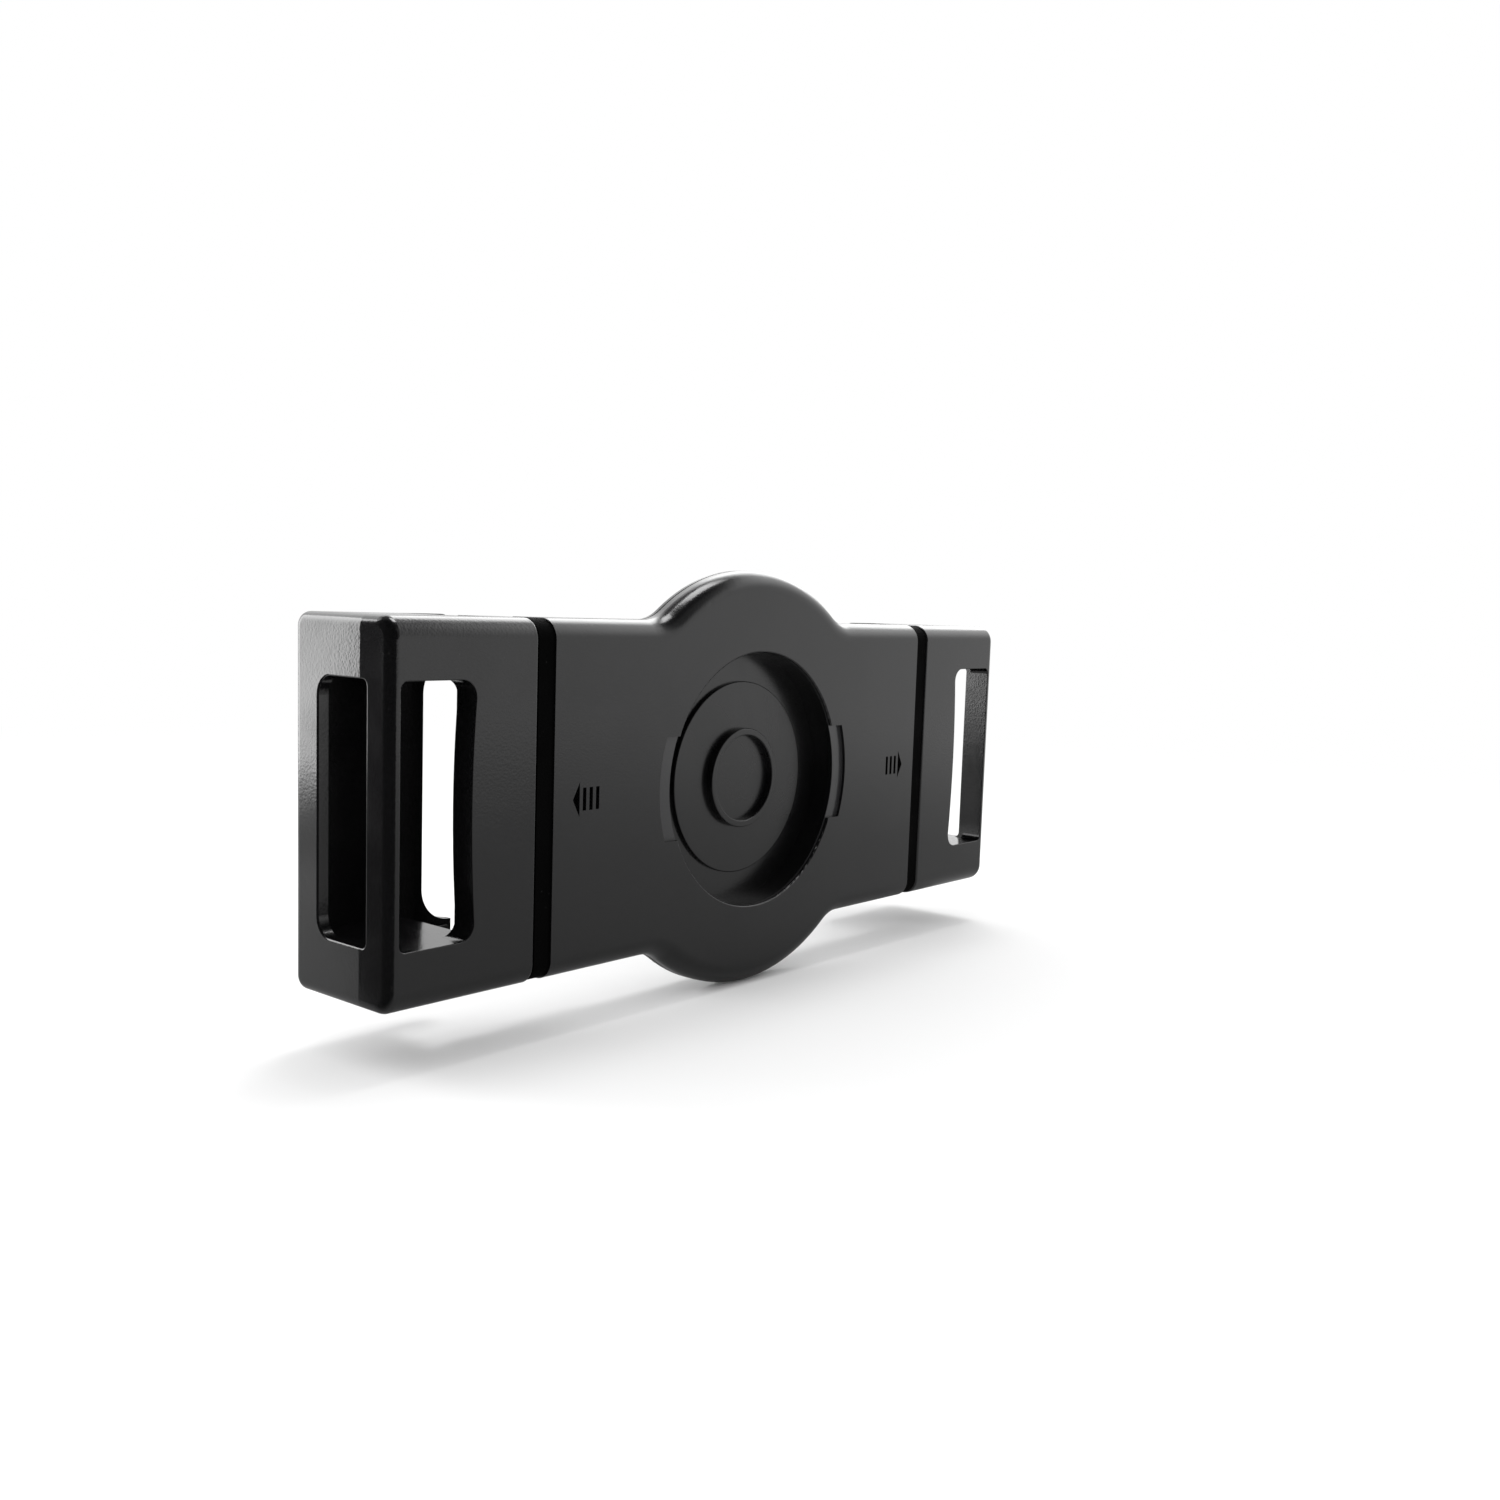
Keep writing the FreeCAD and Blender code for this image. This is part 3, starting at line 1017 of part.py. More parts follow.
def make_liners(side):
    """L-shaped rubber liners on the jaw's two end webs, under the fingers."""
    liners = []
    for name, sign in (("top", ""), ("bottom", "-")):
        body = doc.addObject("Part::Extrusion", "%s_liner_%s" % (side, name))
        outline = doc.addObject("Sketcher::SketchObject", "%s_liner_%s_outline" % (side, name))
        low = "(%s + Dims.liner_margin)" % LIP_CUT_HALF
        high = "(Dims.body_half_height - Dims.liner_margin)"
        face = "(%s - Dims.liner_stop)" % JAW_STOP
        add_polygon(outline, [
            ("(%s + Dims.liner_lip_edge)" % LIP_REACH, LIP_INSIDE),
            ("(%s + Dims.liner_lip_edge)" % LIP_REACH, "(%s - Dims.liner_lip)" % LIP_INSIDE),
            (face, "(%s - Dims.liner_lip)" % LIP_INSIDE),
            (face, "(%s + Dims.pad_thick)" % BODY_FACE),
            (JAW_STOP, "(%s + Dims.pad_thick)" % BODY_FACE),
            (JAW_STOP, LIP_INSIDE)])
        start = low if not sign else "-" + high
        outline.setExpression(".Placement.Base.z", start)
        body.Base = outline
        body.DirMode = "Custom"
        body.Dir = Vec(0, 0, 1)
        body.Solid = True
        body.setExpression("LengthFwd", "%s - %s" % (high, low))
        liners.append(body)
    node = group(side + "_jaw_liners", liners)
    place(node, side)
    return node


def make_flange_screws():
    return group("flange_screws", [make_screw("flange_screw_%d" % i, x, z, d("flange_screw_tip"),
                                              FLANGE_FACE)
                                   for i, (x, z) in enumerate(FLANGE_SCREWS, start=1)])


def make_middle_screws():
    return group("middle_screws", [make_screw("middle_screw_%d" % i, x, z)
                                   for i, (x, z) in enumerate(MID_SCREWS, start=1)])


nodes = [make_rear_shell(), make_front_plate(), make_socket_disc(), make_pinion(),
         make_pinion_pin(), make_flange_screws(), make_middle_screws(), make_spring_anchors(),
         make_front_pads()]
for which in ("right", "left"):
    nodes += [make_collar(which), make_jaw(which), make_slider(which), make_jaw_screws(which),
              make_spring(which), make_rivet(which), make_liners(which)]

doc.recompute()
for item in doc.Objects:
    if "Invalid" in item.State or "Error" in item.State:
        raise ValueError("%s is not valid: %s" % (item.Label, item.State))
for node in nodes:
    if node.Shape.isNull() or not node.Shape.isValid() or not node.Shape.Solids:
        raise ValueError("%s has no valid solid" % node.Label)

os.makedirs("parts", exist_ok=True)
for node in nodes:
    node.Shape.exportStep(os.path.join("parts", node.Label + ".step"))
    box = node.Shape.BoundBox
    print("%-20s solids %d volume %9.1f  X %.2f %.2f  Y %.2f %.2f  Z %.2f %.2f" % (
        node.Label, len(node.Shape.Solids), node.Shape.Volume, box.XMin, box.XMax,
        box.YMin, box.YMax, box.ZMin, box.ZMax))
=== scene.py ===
import math

import bmesh
import bpy
import numpy as np
from mathutils import Matrix, Vector


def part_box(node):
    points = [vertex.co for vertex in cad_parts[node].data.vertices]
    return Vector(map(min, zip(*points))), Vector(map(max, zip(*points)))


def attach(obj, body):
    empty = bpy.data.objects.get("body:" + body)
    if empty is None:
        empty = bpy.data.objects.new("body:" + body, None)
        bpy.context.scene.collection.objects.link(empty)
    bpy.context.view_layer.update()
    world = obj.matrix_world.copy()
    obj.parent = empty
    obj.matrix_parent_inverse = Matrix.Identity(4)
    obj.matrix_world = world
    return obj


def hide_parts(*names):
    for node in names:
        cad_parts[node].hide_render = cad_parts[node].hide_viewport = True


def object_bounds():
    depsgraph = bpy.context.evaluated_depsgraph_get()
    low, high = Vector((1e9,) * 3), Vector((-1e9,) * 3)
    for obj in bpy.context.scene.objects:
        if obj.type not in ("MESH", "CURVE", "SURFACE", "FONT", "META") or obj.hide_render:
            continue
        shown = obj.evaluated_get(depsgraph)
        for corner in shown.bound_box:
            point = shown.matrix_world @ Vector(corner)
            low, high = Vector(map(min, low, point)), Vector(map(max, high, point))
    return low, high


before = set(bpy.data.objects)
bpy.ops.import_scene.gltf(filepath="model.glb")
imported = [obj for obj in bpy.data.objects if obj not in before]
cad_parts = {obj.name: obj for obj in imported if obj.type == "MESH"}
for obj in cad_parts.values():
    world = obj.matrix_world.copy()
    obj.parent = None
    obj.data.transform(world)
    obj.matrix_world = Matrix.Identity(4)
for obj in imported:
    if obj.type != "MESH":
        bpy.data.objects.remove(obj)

cad_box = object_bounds()


# Rear cover and front plate of the body: two black glass-filled nylon mouldings with a fine
# spark-eroded grain, screwed together on a seam that runs round the edge. The floors of the two
# notches beside the socket are painted a lighter grey: a painted highlight.
MM = 0.001
COVER_SEAM_Y = 6.4 * MM
SEAM_FADES_AT, SEAM_FULL_AT = 0.24 * MM, 0.08 * MM
SEAM_STARTS_AT_RADIUS = 37.0 * MM
SEAM_COLOUR = (0.0005, 0.0005, 0.0005)
NOTCH_FLOOR_FROM, NOTCH_FLOOR_TO = (0.6 * MM, 0.9 * MM), (1.3 * MM, 1.1 * MM)
NOTCH_FLOOR_HIGHLIGHT = (0.024, 0.024, 0.025)
DUST_COLOUR, DUST_STRENGTH = (0.05, 0.05, 0.048), 0.22
NODES_IN_A_ROW, NODE_WIDE, NODE_TALL = 8, 220.0, 380.0


def add_node(tree, kind, **settings):
    """Node of that kind with its settings, placed in rows in the order of making."""
    row, column = divmod(len(tree.nodes), NODES_IN_A_ROW)
    node = tree.nodes.new(kind)
    node.location = (NODE_WIDE * (column - NODES_IN_A_ROW), -NODE_TALL * row)
    for name, value in settings.items():
        setattr(node, name, value)
    return node


def feed(tree, source, socket):
    """Gives an input a link where the source is another node's socket, and else a value."""
    if isinstance(source, bpy.types.NodeSocket):
        tree.links.new(source, socket)
    elif socket.type == "RGBA":
        socket.default_value = (*source, 1.0)
    else:
        socket.default_value = source


def calculate(tree, operation, *terms):
    """Math on one or two numbers or sockets."""
    node = add_node(tree, "ShaderNodeMath", operation=operation)
    for term, socket in zip(terms, node.inputs):
        feed(tree, term, socket)
    return node.outputs[0]


def calculate_vector(tree, operation, output, *terms):
    """Vector math on one or two vectors or sockets, and the output of that name."""
    node = add_node(tree, "ShaderNodeVectorMath", operation=operation)
    for term, socket in zip(terms, node.inputs):
        feed(tree, term, socket)
    return node.outputs[output]


def ramp(tree, value, low, high, start=0.0, end=1.0, curve="SMOOTHSTEP"):
    """Number that goes from start to end while the value goes from low to high."""
    node = add_node(tree, "ShaderNodeMapRange", interpolation_type=curve)
    limits = {"From Min": low, "From Max": high, "To Min": start, "To Max": end}
    for name, number in limits.items():
        node.inputs[name].default_value = number
    tree.links.new(value, node.inputs["Value"])
    return node.outputs["Result"]


def mixed(tree, mask, first, second, kind="RGBA"):
    """Colour or number that goes from the first to the second by a mask."""
    node = add_node(tree, "ShaderNodeMix", data_type=kind)
    for name, source in {"Factor": mask, "A": first, "B": second}.items():
        feed(tree, source, node.inputs[name])
    return node.outputs["Result"]


def add_pattern(tree, kind, vector, scale, inputs=None, **settings):
    """Texture node of that kind, on a vector and at a scale, with more inputs by name."""
    node = add_node(tree, "ShaderNodeTex" + kind, **settings)
    for name, source in {"Vector": vector, "Scale": scale, **(inputs or {})}.items():
        feed(tree, source, node.inputs[name])
    return node


def split(tree, vector):
    """The X, Y and Z outputs of a vector."""
    node = add_node(tree, "ShaderNodeSeparateXYZ")
    tree.links.new(vector, node.inputs[0])
    return node.outputs


def new_effect(name, inputs, outputs):
    """Empty shader node group, from (name, type, default) inputs and (name, type) outputs."""
    tree = bpy.data.node_groups.new(name, "ShaderNodeTree")
    for label, kind, value in inputs:
        socket = tree.interface.new_socket(label, in_out="INPUT", socket_type=kind)
        if value is not None:
            socket.default_value = value
    for label, kind in outputs:
        tree.interface.new_socket(label, in_out="OUTPUT", socket_type=kind)
    given = add_node(tree, "NodeGroupInput").outputs
    results = add_node(tree, "NodeGroupOutput", location=(NODE_WIDE, 0.0)).inputs
    return tree, given, results


def build_spark_grain():
    """Grain of a spark-eroded mould: small craters over a softer roll, as height and as fleck.

    The craters are one grain apart, and the roll's waves about four and a half."""
    rolls_per_grain = 0.22
    tree, given, results = new_effect(
        "spark_grain",
        [("Vector", "NodeSocketVector", None), ("Grain Size", "NodeSocketFloat", 0.5 * MM),
         ("Roll", "NodeSocketFloat", 0.35)],
        [("Height", "NodeSocketFloat"), ("Fleck", "NodeSocketFloat")])
    per_grain = calculate(tree, "DIVIDE", 1.0, given["Grain Size"])
    craters = add_pattern(tree, "Voronoi", given["Vector"], per_grain, {"Smoothness": 0.6},
                          feature="SMOOTH_F1").outputs["Distance"]
    per_roll = calculate(tree, "MULTIPLY", per_grain, rolls_per_grain)
    rolls = add_pattern(tree, "Noise", given["Vector"], per_roll, {"Detail": 3.0}).outputs["Fac"]
    feed(tree, mixed(tree, given["Roll"], craters, rolls, "FLOAT"), results["Height"])
    feed(tree, craters, results["Fleck"])
    return tree


def build_handling():
    """Patches that hands and cloths have polished, and sparse fine dust, as two masks.

    The patches are the upper part of a cloudy noise. Dust is the very middle of small cells."""
    polish_starts, polish_full = 0.36, 0.66
    cells_per_metre, speck_edge, speck_middle = 420.0, 0.09, 0.04
    tree, given, results = new_effect(
        "handling",
        [("Vector", "NodeSocketVector", None), ("Patch Size", "NodeSocketFloat", 30.0 * MM)],
        [("Polish", "NodeSocketFloat"), ("Dust", "NodeSocketFloat")])
    per_patch = calculate(tree, "DIVIDE", 1.0, given["Patch Size"])
    patches = add_pattern(tree, "Noise", given["Vector"], per_patch,
                          {"Detail": 4.0, "Roughness": 0.62, "Distortion": 0.4}).outputs["Fac"]
    feed(tree, ramp(tree, patches, polish_starts, polish_full), results["Polish"])
    specks = add_pattern(tree, "Voronoi", given["Vector"], cells_per_metre).outputs["Distance"]
    feed(tree, ramp(tree, specks, speck_edge, speck_middle, curve="LINEAR"), results["Dust"])
    return tree


spark_grain = build_spark_grain()
handling = build_handling()


def new_material(name):
    """Material with nodes, its tree and its Principled BSDF."""
    material = bpy.data.materials.new(name)
    material.use_nodes = True
    tree = material.node_tree
    return material, tree, tree.nodes["Principled BSDF"]


def add_bump(tree, shader, height, depth, strength):
    """Bump of a height from 0 to 1 that stands for a depth in metres."""
    bump = add_node(tree, "ShaderNodeBump")
    bump.inputs["Distance"].default_value = depth
    bump.inputs["Strength"].default_value = strength
    tree.links.new(height, bump.inputs["Height"])
    tree.links.new(bump.outputs["Normal"], shader.inputs["Normal"])


def moulded_finish(name, colour, worn, dull, polished, grain, depth, specular=0.6):
    """Moulded plastic or rubber: grain as tone and as bump, polished patches, and dust.

    The colour goes to the worn one by the grain's flecks, the roughness from dull to polished
    by the patches."""
    material, tree, shader = new_material(name)
    shader.inputs["Specular IOR Level"].default_value = specular
    place = add_node(tree, "ShaderNodeTexCoord").outputs["Object"]
    surface = add_node(tree, "ShaderNodeGroup", node_tree=spark_grain)
    surface.inputs["Grain Size"].default_value = grain
    hands = add_node(tree, "ShaderNodeGroup", node_tree=handling)
    for group in (surface, hands):
        tree.links.new(place, group.inputs["Vector"])
    tone = mixed(tree, surface.outputs["Fleck"], colour, worn)
    dust = calculate(tree, "MULTIPLY", hands.outputs["Dust"], DUST_STRENGTH)
    feed(tree, mixed(tree, dust, tone, DUST_COLOUR), shader.inputs["Base Color"])
    feed(tree, ramp(tree, hands.outputs["Polish"], 0.0, 1.0, dull, polished, "LINEAR"),
         shader.inputs["Roughness"])
    add_bump(tree, shader, surface.outputs["Height"], depth, strength=0.8)
    return material


def lay_over(tree, socket, mask, source, kind="RGBA"):
    """Lays a colour or number over what feeds a shader's input, by a mask."""
    below = socket.links[0].from_socket
    feed(tree, mixed(tree, mask, below, source, kind), socket)


def mark_cover(material):
    """Seam line and painted highlight on notch floors, by Y and the distance from the Y axis.

    The seam is where Y is within a hair of its plane, outside the socket. A notch's floor is
    where Y is near its depth, inside the hub."""
    tree = material.node_tree
    shader = tree.nodes["Principled BSDF"]
    place = add_node(tree, "ShaderNodeTexCoord").outputs["Object"]
    y = split(tree, place)["Y"]
    flat = calculate_vector(tree, "MULTIPLY", "Vector", place, (1.0, 0.0, 1.0))
    distance = calculate_vector(tree, "LENGTH", "Value", flat)
    outside = calculate(tree, "GREATER_THAN", distance, SEAM_STARTS_AT_RADIUS)
    off_seam = calculate(tree, "ABSOLUTE", calculate(tree, "SUBTRACT", y, COVER_SEAM_Y))
    line = ramp(tree, off_seam, SEAM_FADES_AT, SEAM_FULL_AT)
    seam = calculate(tree, "MULTIPLY", line, outside)
    lay_over(tree, shader.inputs["Base Color"], seam, SEAM_COLOUR)
    lay_over(tree, shader.inputs["Roughness"], seam, 1.0, "FLOAT")
    # Notch floors: painted highlight, a lighter grey where Y is at the notches' depth inside the
    # hub.
    below_face = ramp(tree, y, *NOTCH_FLOOR_FROM, curve="LINEAR")
    above_socket = ramp(tree, y, *NOTCH_FLOOR_TO, curve="LINEAR")
    at_depth = calculate(tree, "MULTIPLY", below_face, above_socket)
    inside = calculate(tree, "SUBTRACT", 1.0, outside)
    painted_notch_highlight = calculate(tree, "MULTIPLY", at_depth, inside)
    lay_over(tree, shader.inputs["Base Color"], painted_notch_highlight, NOTCH_FLOOR_HIGHLIGHT)


def dress(material, *names):
    """Gives CAD nodes their finish."""
    for name in names:
        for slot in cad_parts[name].material_slots:
            slot.material = material


cover_nylon = moulded_finish("cover_nylon", colour=(0.0018, 0.0018, 0.0020),
                             worn=(0.0036, 0.0036, 0.0040), dull=0.27, polished=0.20,
                             grain=0.46 * MM, depth=0.019 * MM)
mark_cover(cover_nylon)
dress(cover_nylon, "rear_shell", "front_plate")


# Disc with its locating ring, heat-staked to the socket's floor: the same nylon without glass,
# from a finer mould.
disc_nylon = moulded_finish("disc_nylon", colour=(0.0017, 0.0017, 0.0019),
                            worn=(0.0034, 0.0034, 0.0037), dull=0.29, polished=0.22,
                            grain=0.25 * MM, depth=0.008 * MM)
dress(disc_nylon, "socket_disc")


# End collars: soft black rubber, moulded as one insert for each end and plugged into the body,
# where the closed jaws rest against it. Matt, with hardly any shine.
collar_rubber = moulded_finish("collar_rubber", colour=(0.0006, 0.0006, 0.0006),
                               worn=(0.0012, 0.0012, 0.0012), dull=0.80, polished=0.65,
                               grain=0.4 * MM, depth=0.04 * MM, specular=0.03)
dress(collar_rubber, "right_collar", "left_collar")


# Jaws: open C-shaped frames of the covers' nylon, one turned half round to make the other. The
# rear strip of each end face leans a few degrees, which gives it a hard border in reflections.
END_FACE_FROM_X, STRIP_WIDTH, STRIP_FADE, STRIP_SLOPE = 109.0 * MM, 9.6 * MM, 0.2 * MM, 0.09


def lean_end_strip(material):
    """Leans the shading of the end faces' rear strip towards the rear.

    The slope, times how far the face looks along X, is taken off the normal's Y in the piece's
    own space, and the result is made a unit vector and turned to the world."""
    tree = material.node_tree
    where = add_node(tree, "ShaderNodeTexCoord").outputs
    place, facing = split(tree, where["Object"]), split(tree, where["Normal"])
    from_middle = calculate(tree, "ABSOLUTE", place["X"])
    at_end = calculate(tree, "GREATER_THAN", from_middle, END_FACE_FROM_X)
    strip = ramp(tree, place["Y"], STRIP_WIDTH + STRIP_FADE, STRIP_WIDTH - STRIP_FADE,
                 end=STRIP_SLOPE)
    endwise = calculate(tree, "ABSOLUTE", facing["X"])
    amount = calculate(tree, "MULTIPLY", calculate(tree, "MULTIPLY", at_end, strip), endwise)
    lean = add_node(tree, "ShaderNodeVectorMath", operation="SCALE")
    lean.inputs[0].default_value = (0.0, -1.0, 0.0)
    tree.links.new(amount, lean.inputs["Scale"])
    leaned = calculate_vector(tree, "ADD", "Vector", where["Normal"], lean.outputs["Vector"])
    unit = calculate_vector(tree, "NORMALIZE", "Vector", leaned)
    turned = add_node(tree, "ShaderNodeVectorTransform", vector_type="NORMAL",
                      convert_from="OBJECT", convert_to="WORLD")
    tree.links.new(unit, turned.inputs[0])
    bump = tree.nodes["Principled BSDF"].inputs["Normal"].links[0].from_node
    tree.links.new(turned.outputs[0], bump.inputs["Normal"])


jaw_nylon = moulded_finish("jaw_nylon", colour=(0.0018, 0.0018, 0.0020),
                           worn=(0.0038, 0.0038, 0.0042), dull=0.23, polished=0.15,
                           grain=0.55 * MM, depth=0.026 * MM)
lean_end_strip(jaw_nylon)
dress(jaw_nylon, "right_jaw", "left_jaw")


# Sliders: stamped steel plates, zinc-plated, with a rack along one edge. The sheet's rolling
# marks run along the pull.
def metal_finish(name, colour, streaked, dull, bright, per_metre, depth=0.01 * MM):
    """Plated or drawn steel: streaks, so many per metre of each axis, and cloudy roughness."""
    clouds_per_metre = 90.0
    material, tree, shader = new_material(name)
    shader.inputs["Metallic"].default_value = 1.0
    place = add_node(tree, "ShaderNodeTexCoord").outputs["Object"]
    stretch = add_node(tree, "ShaderNodeMapping")
    stretch.inputs["Scale"].default_value = per_metre
    tree.links.new(place, stretch.inputs["Vector"])
    streaks = add_pattern(tree, "Noise", stretch.outputs["Vector"], 1.0,
                          {"Detail": 5.0}).outputs["Fac"]
    clouds = add_pattern(tree, "Noise", place, clouds_per_metre).outputs["Fac"]
    feed(tree, mixed(tree, streaks, colour, streaked), shader.inputs["Base Color"])
    feed(tree, ramp(tree, clouds, 0.0, 1.0, dull, bright, "LINEAR"), shader.inputs["Roughness"])
    add_bump(tree, shader, streaks, depth, strength=0.5)
    return material


slider_zinc = metal_finish("slider_zinc", colour=(0.46, 0.46, 0.48), streaked=(0.60, 0.60, 0.61),
                           dull=0.42, bright=0.26, per_metre=(60.0, 900.0, 900.0))
dress(slider_zinc, "right_slider", "left_slider")


# Pinion: wheel of 18 teeth, moulded in natural acetal, loose on its pin between the two racks
# that it keeps in step.
pinion_acetal = moulded_finish("pinion_acetal", colour=(0.66, 0.65, 0.61),
                               worn=(0.74, 0.73, 0.69), dull=0.45, polished=0.35,
                               grain=0.3 * MM, depth=0.01 * MM)
dress(pinion_acetal, "pinion")


# Spring anchors and rivets: small zinc-plated steel pins, pressed into the front plate and into
# the sliders, that the springs' loops hook on.
fastener_zinc = metal_finish("fastener_zinc", colour=(0.50, 0.50, 0.51),
                             streaked=(0.62, 0.62, 0.63), dull=0.36, bright=0.22,
                             per_metre=(500.0, 500.0, 500.0))
dress(fastener_zinc, "spring_anchors", "right_spring_rivet", "left_spring_rivet")


# Tension springs: bright drawn wire, wound close along X. The CAD tubes stretch with the jaws,
# so their turns are streaks across a plain tube.
spring_wire = metal_finish("spring_wire", colour=(0.55, 0.55, 0.56), streaked=(0.68, 0.68, 0.69),
                           dull=0.30, bright=0.18, per_metre=(1700.0, 40.0, 40.0),
                           depth=0.1 * MM)
dress(spring_wire, "right_spring", "left_spring")


# Self-tapping screws: pan heads with a cross recess, driven from the front through the flange,
# into the two middle bosses and into the jaws' roots. Black-oxide steel.
SCREW_HEAD_HEIGHT, SCREW_HEAD_RADIUS, SCREW_SHANK_RADIUS = 1.35 * MM, 2.2 * MM, 1.2 * MM
THREAD_PITCH, THREAD_DEPTH = 0.8 * MM, 0.09 * MM
RECESS_ARM_HALF, RECESS_SLOPE, RECESS_DEPTH = 0.34 * MM, 0.12 * MM, 0.75 * MM
RECESS_SHARE_OF_HEAD = 0.62
FIRST_SCREW_TURN = 0.4
FLANGE_SCREW_TIP, FLANGE_SCREW_SEAT = 3.0 * MM, 7.4 * MM
DEEP_SCREW_TIP, DEEP_SCREW_SEAT = 4.0 * MM, 13.3 * MM
FLANGE_RING, FLANGE_TURN = 47.9 * MM, math.radians(22.5)
MIDDLE_SCREW_X, MIDDLE_SCREW_Z = 44.0 * MM, 20.3 * MM
JAW_SCREW_X, JAW_SCREW_Z = 77.5 * MM, (12.0 * MM, 30.0 * MM)
SHARP_ANGLE = math.radians(38.0)
WELD_DISTANCE = 0.0005 * MM


def add_piece(name, points, faces, material, body, *stands_for):
    """Mesh object from arrays of points and quads, smooth, riding on a CAD body."""
    mesh = bpy.data.meshes.new(name)
    mesh.from_pydata(points.tolist(), [], faces.tolist())
    work = bmesh.new()
    work.from_mesh(mesh)
    bmesh.ops.remove_doubles(work, verts=work.verts, dist=WELD_DISTANCE)
    bmesh.ops.recalc_face_normals(work, faces=work.faces)
    work.to_mesh(mesh)
    work.free()
    mesh.polygons.foreach_set("use_smooth", np.ones(len(mesh.polygons), bool))
    mesh.set_sharp_from_angle(angle=SHARP_ANGLE)
    mesh.materials.append(material)
    mesh.update()
    piece = bpy.data.objects.new(name, mesh)
    bpy.context.scene.collection.objects.link(piece)
    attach(piece, body)
    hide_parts(*stands_for)
    return piece


def ring_faces(rings, around):
    """Quads between neighbouring rings of a closed surface, each ring joined round."""
    row, column = np.meshgrid(np.arange(rings - 1), np.arange(around), indexing="ij")
    along = (column + 1) % around
    quads = np.stack([row * around + column, row * around + along,
                      (row + 1) * around + along, (row + 1) * around + column], -1)
    return quads.reshape(-1, 4)


def join_surfaces(surfaces):
    """One array of points and one of quads from several surfaces."""
    points, faces = zip(*surfaces)
    starts = np.cumsum([0] + [len(cloud) for cloud in points[:-1]])
    shifted = [quads + start for quads, start in zip(faces, starts)]
    return np.concatenate(points), np.concatenate(shifted)


def screw_surface(x, z, tip, seat, turn):
    """Screw along Y as rings about its axis, from the tip to the middle of the head.

    Radius and height follow a profile: cone, shank with a thread (a small sine of the height
    plus the angle), seat, and a domed head. On the head a cross is pressed in: the depth falls
    with the distance to either arm and ends at the recess's radius."""
    around, shank_rings, head_rings = 72, 40, 30
    cone_radius, cone_height, shank_start = (s * SCREW_SHANK_RADIUS for s in (0.55, 0.15, 0.5))
    rim_radius, rim_height = 0.96 * SCREW_HEAD_RADIUS, 0.06 * MM
    rim_share, dome_share, dome_width = 0.55, 0.45, 0.92
    recess = RECESS_SHARE_OF_HEAD * SCREW_HEAD_RADIUS
    angle = np.linspace(0.0, 2.0 * np.pi, around, endpoint=False)
    shank_y = np.linspace(tip + shank_start, seat, shank_rings)
    head_r = np.linspace(SCREW_HEAD_RADIUS, 0.0, head_rings)
    dome = np.sqrt(1.0 - (dome_width * head_r / SCREW_HEAD_RADIUS) ** 2)
    head_y = seat + SCREW_HEAD_HEIGHT * (rim_share + dome_share * dome)
    radius = np.concatenate([[0.0, cone_radius], np.full(shank_rings, SCREW_SHANK_RADIUS),
                             [rim_radius, SCREW_HEAD_RADIUS], head_r])
    height = np.concatenate([[tip, tip + cone_height], shank_y, [seat, seat + rim_height],
                             head_y])
    radius = np.repeat(radius[:, None], around, 1)
    height = np.repeat(height[:, None], around, 1)
    thread = slice(2, 2 + shank_rings)
    lead = 2.0 * np.pi * height[thread] / THREAD_PITCH + angle
    radius[thread] -= THREAD_DEPTH * (0.5 - 0.5 * np.cos(lead))
    px, pz = radius * np.cos(angle), radius * np.sin(angle)
    top = slice(4 + shank_rings, None)
    across = np.minimum(np.abs(px[top]), np.abs(pz[top]))
    arm = np.clip((RECESS_ARM_HALF - across) / RECESS_SLOPE, 0.0, 1.0)
    inside = np.clip((recess - radius[top]) / RECESS_SLOPE, 0.0, 1.0)
    deep = RECESS_DEPTH * (1.0 - 0.5 * radius[top] / recess)
    height[top] -= arm * inside * np.maximum(deep, 0.0)
    c, s = np.cos(turn), np.sin(turn)
    points = np.stack([x + c * px - s * pz, height, z + s * px + c * pz], -1)
    return points.reshape(-1, 3), ring_faces(len(radius), around)


def screw_set(name, places, tip, seat, body, node, turn_step):
    """All the screws of one node in one mesh, each turned by a different angle."""
    screws = [screw_surface(x, z, tip, seat, FIRST_SCREW_TURN + turn_step * index)
              for index, (x, z) in enumerate(places)]
    piece = add_piece(name, *join_surfaces(screws), screw_oxide, body, node)


screw_oxide = metal_finish("screw_oxide", colour=(0.055, 0.055, 0.060),
                           streaked=(0.11, 0.11, 0.12), dull=0.42, bright=0.28,
                           per_metre=(700.0, 700.0, 700.0))
flange_x, flange_z = FLANGE_RING * math.sin(FLANGE_TURN), FLANGE_RING * math.cos(FLANGE_TURN)
screw_set("flange_screw_set", [(i * flange_x, k * flange_z) for i in (1, -1) for k in (1, -1)],
          FLANGE_SCREW_TIP, FLANGE_SCREW_SEAT, "body", "flange_screws", turn_step=0.7)
screw_set("middle_screw_set", [(i * MIDDLE_SCREW_X, i * MIDDLE_SCREW_Z) for i in (1, -1)],
          DEEP_SCREW_TIP, DEEP_SCREW_SEAT, "body", "middle_screws", turn_step=1.1)
for side, sign in (("right", 1), ("left", -1)):
    screw_set(side + "_jaw_screw_set",
              [(sign * JAW_SCREW_X, k * z) for z in JAW_SCREW_Z for k in (1, -1)],
              DEEP_SCREW_TIP, DEEP_SCREW_SEAT, side + "_jaw", side + "_jaw_screws",
              turn_step=0.55)


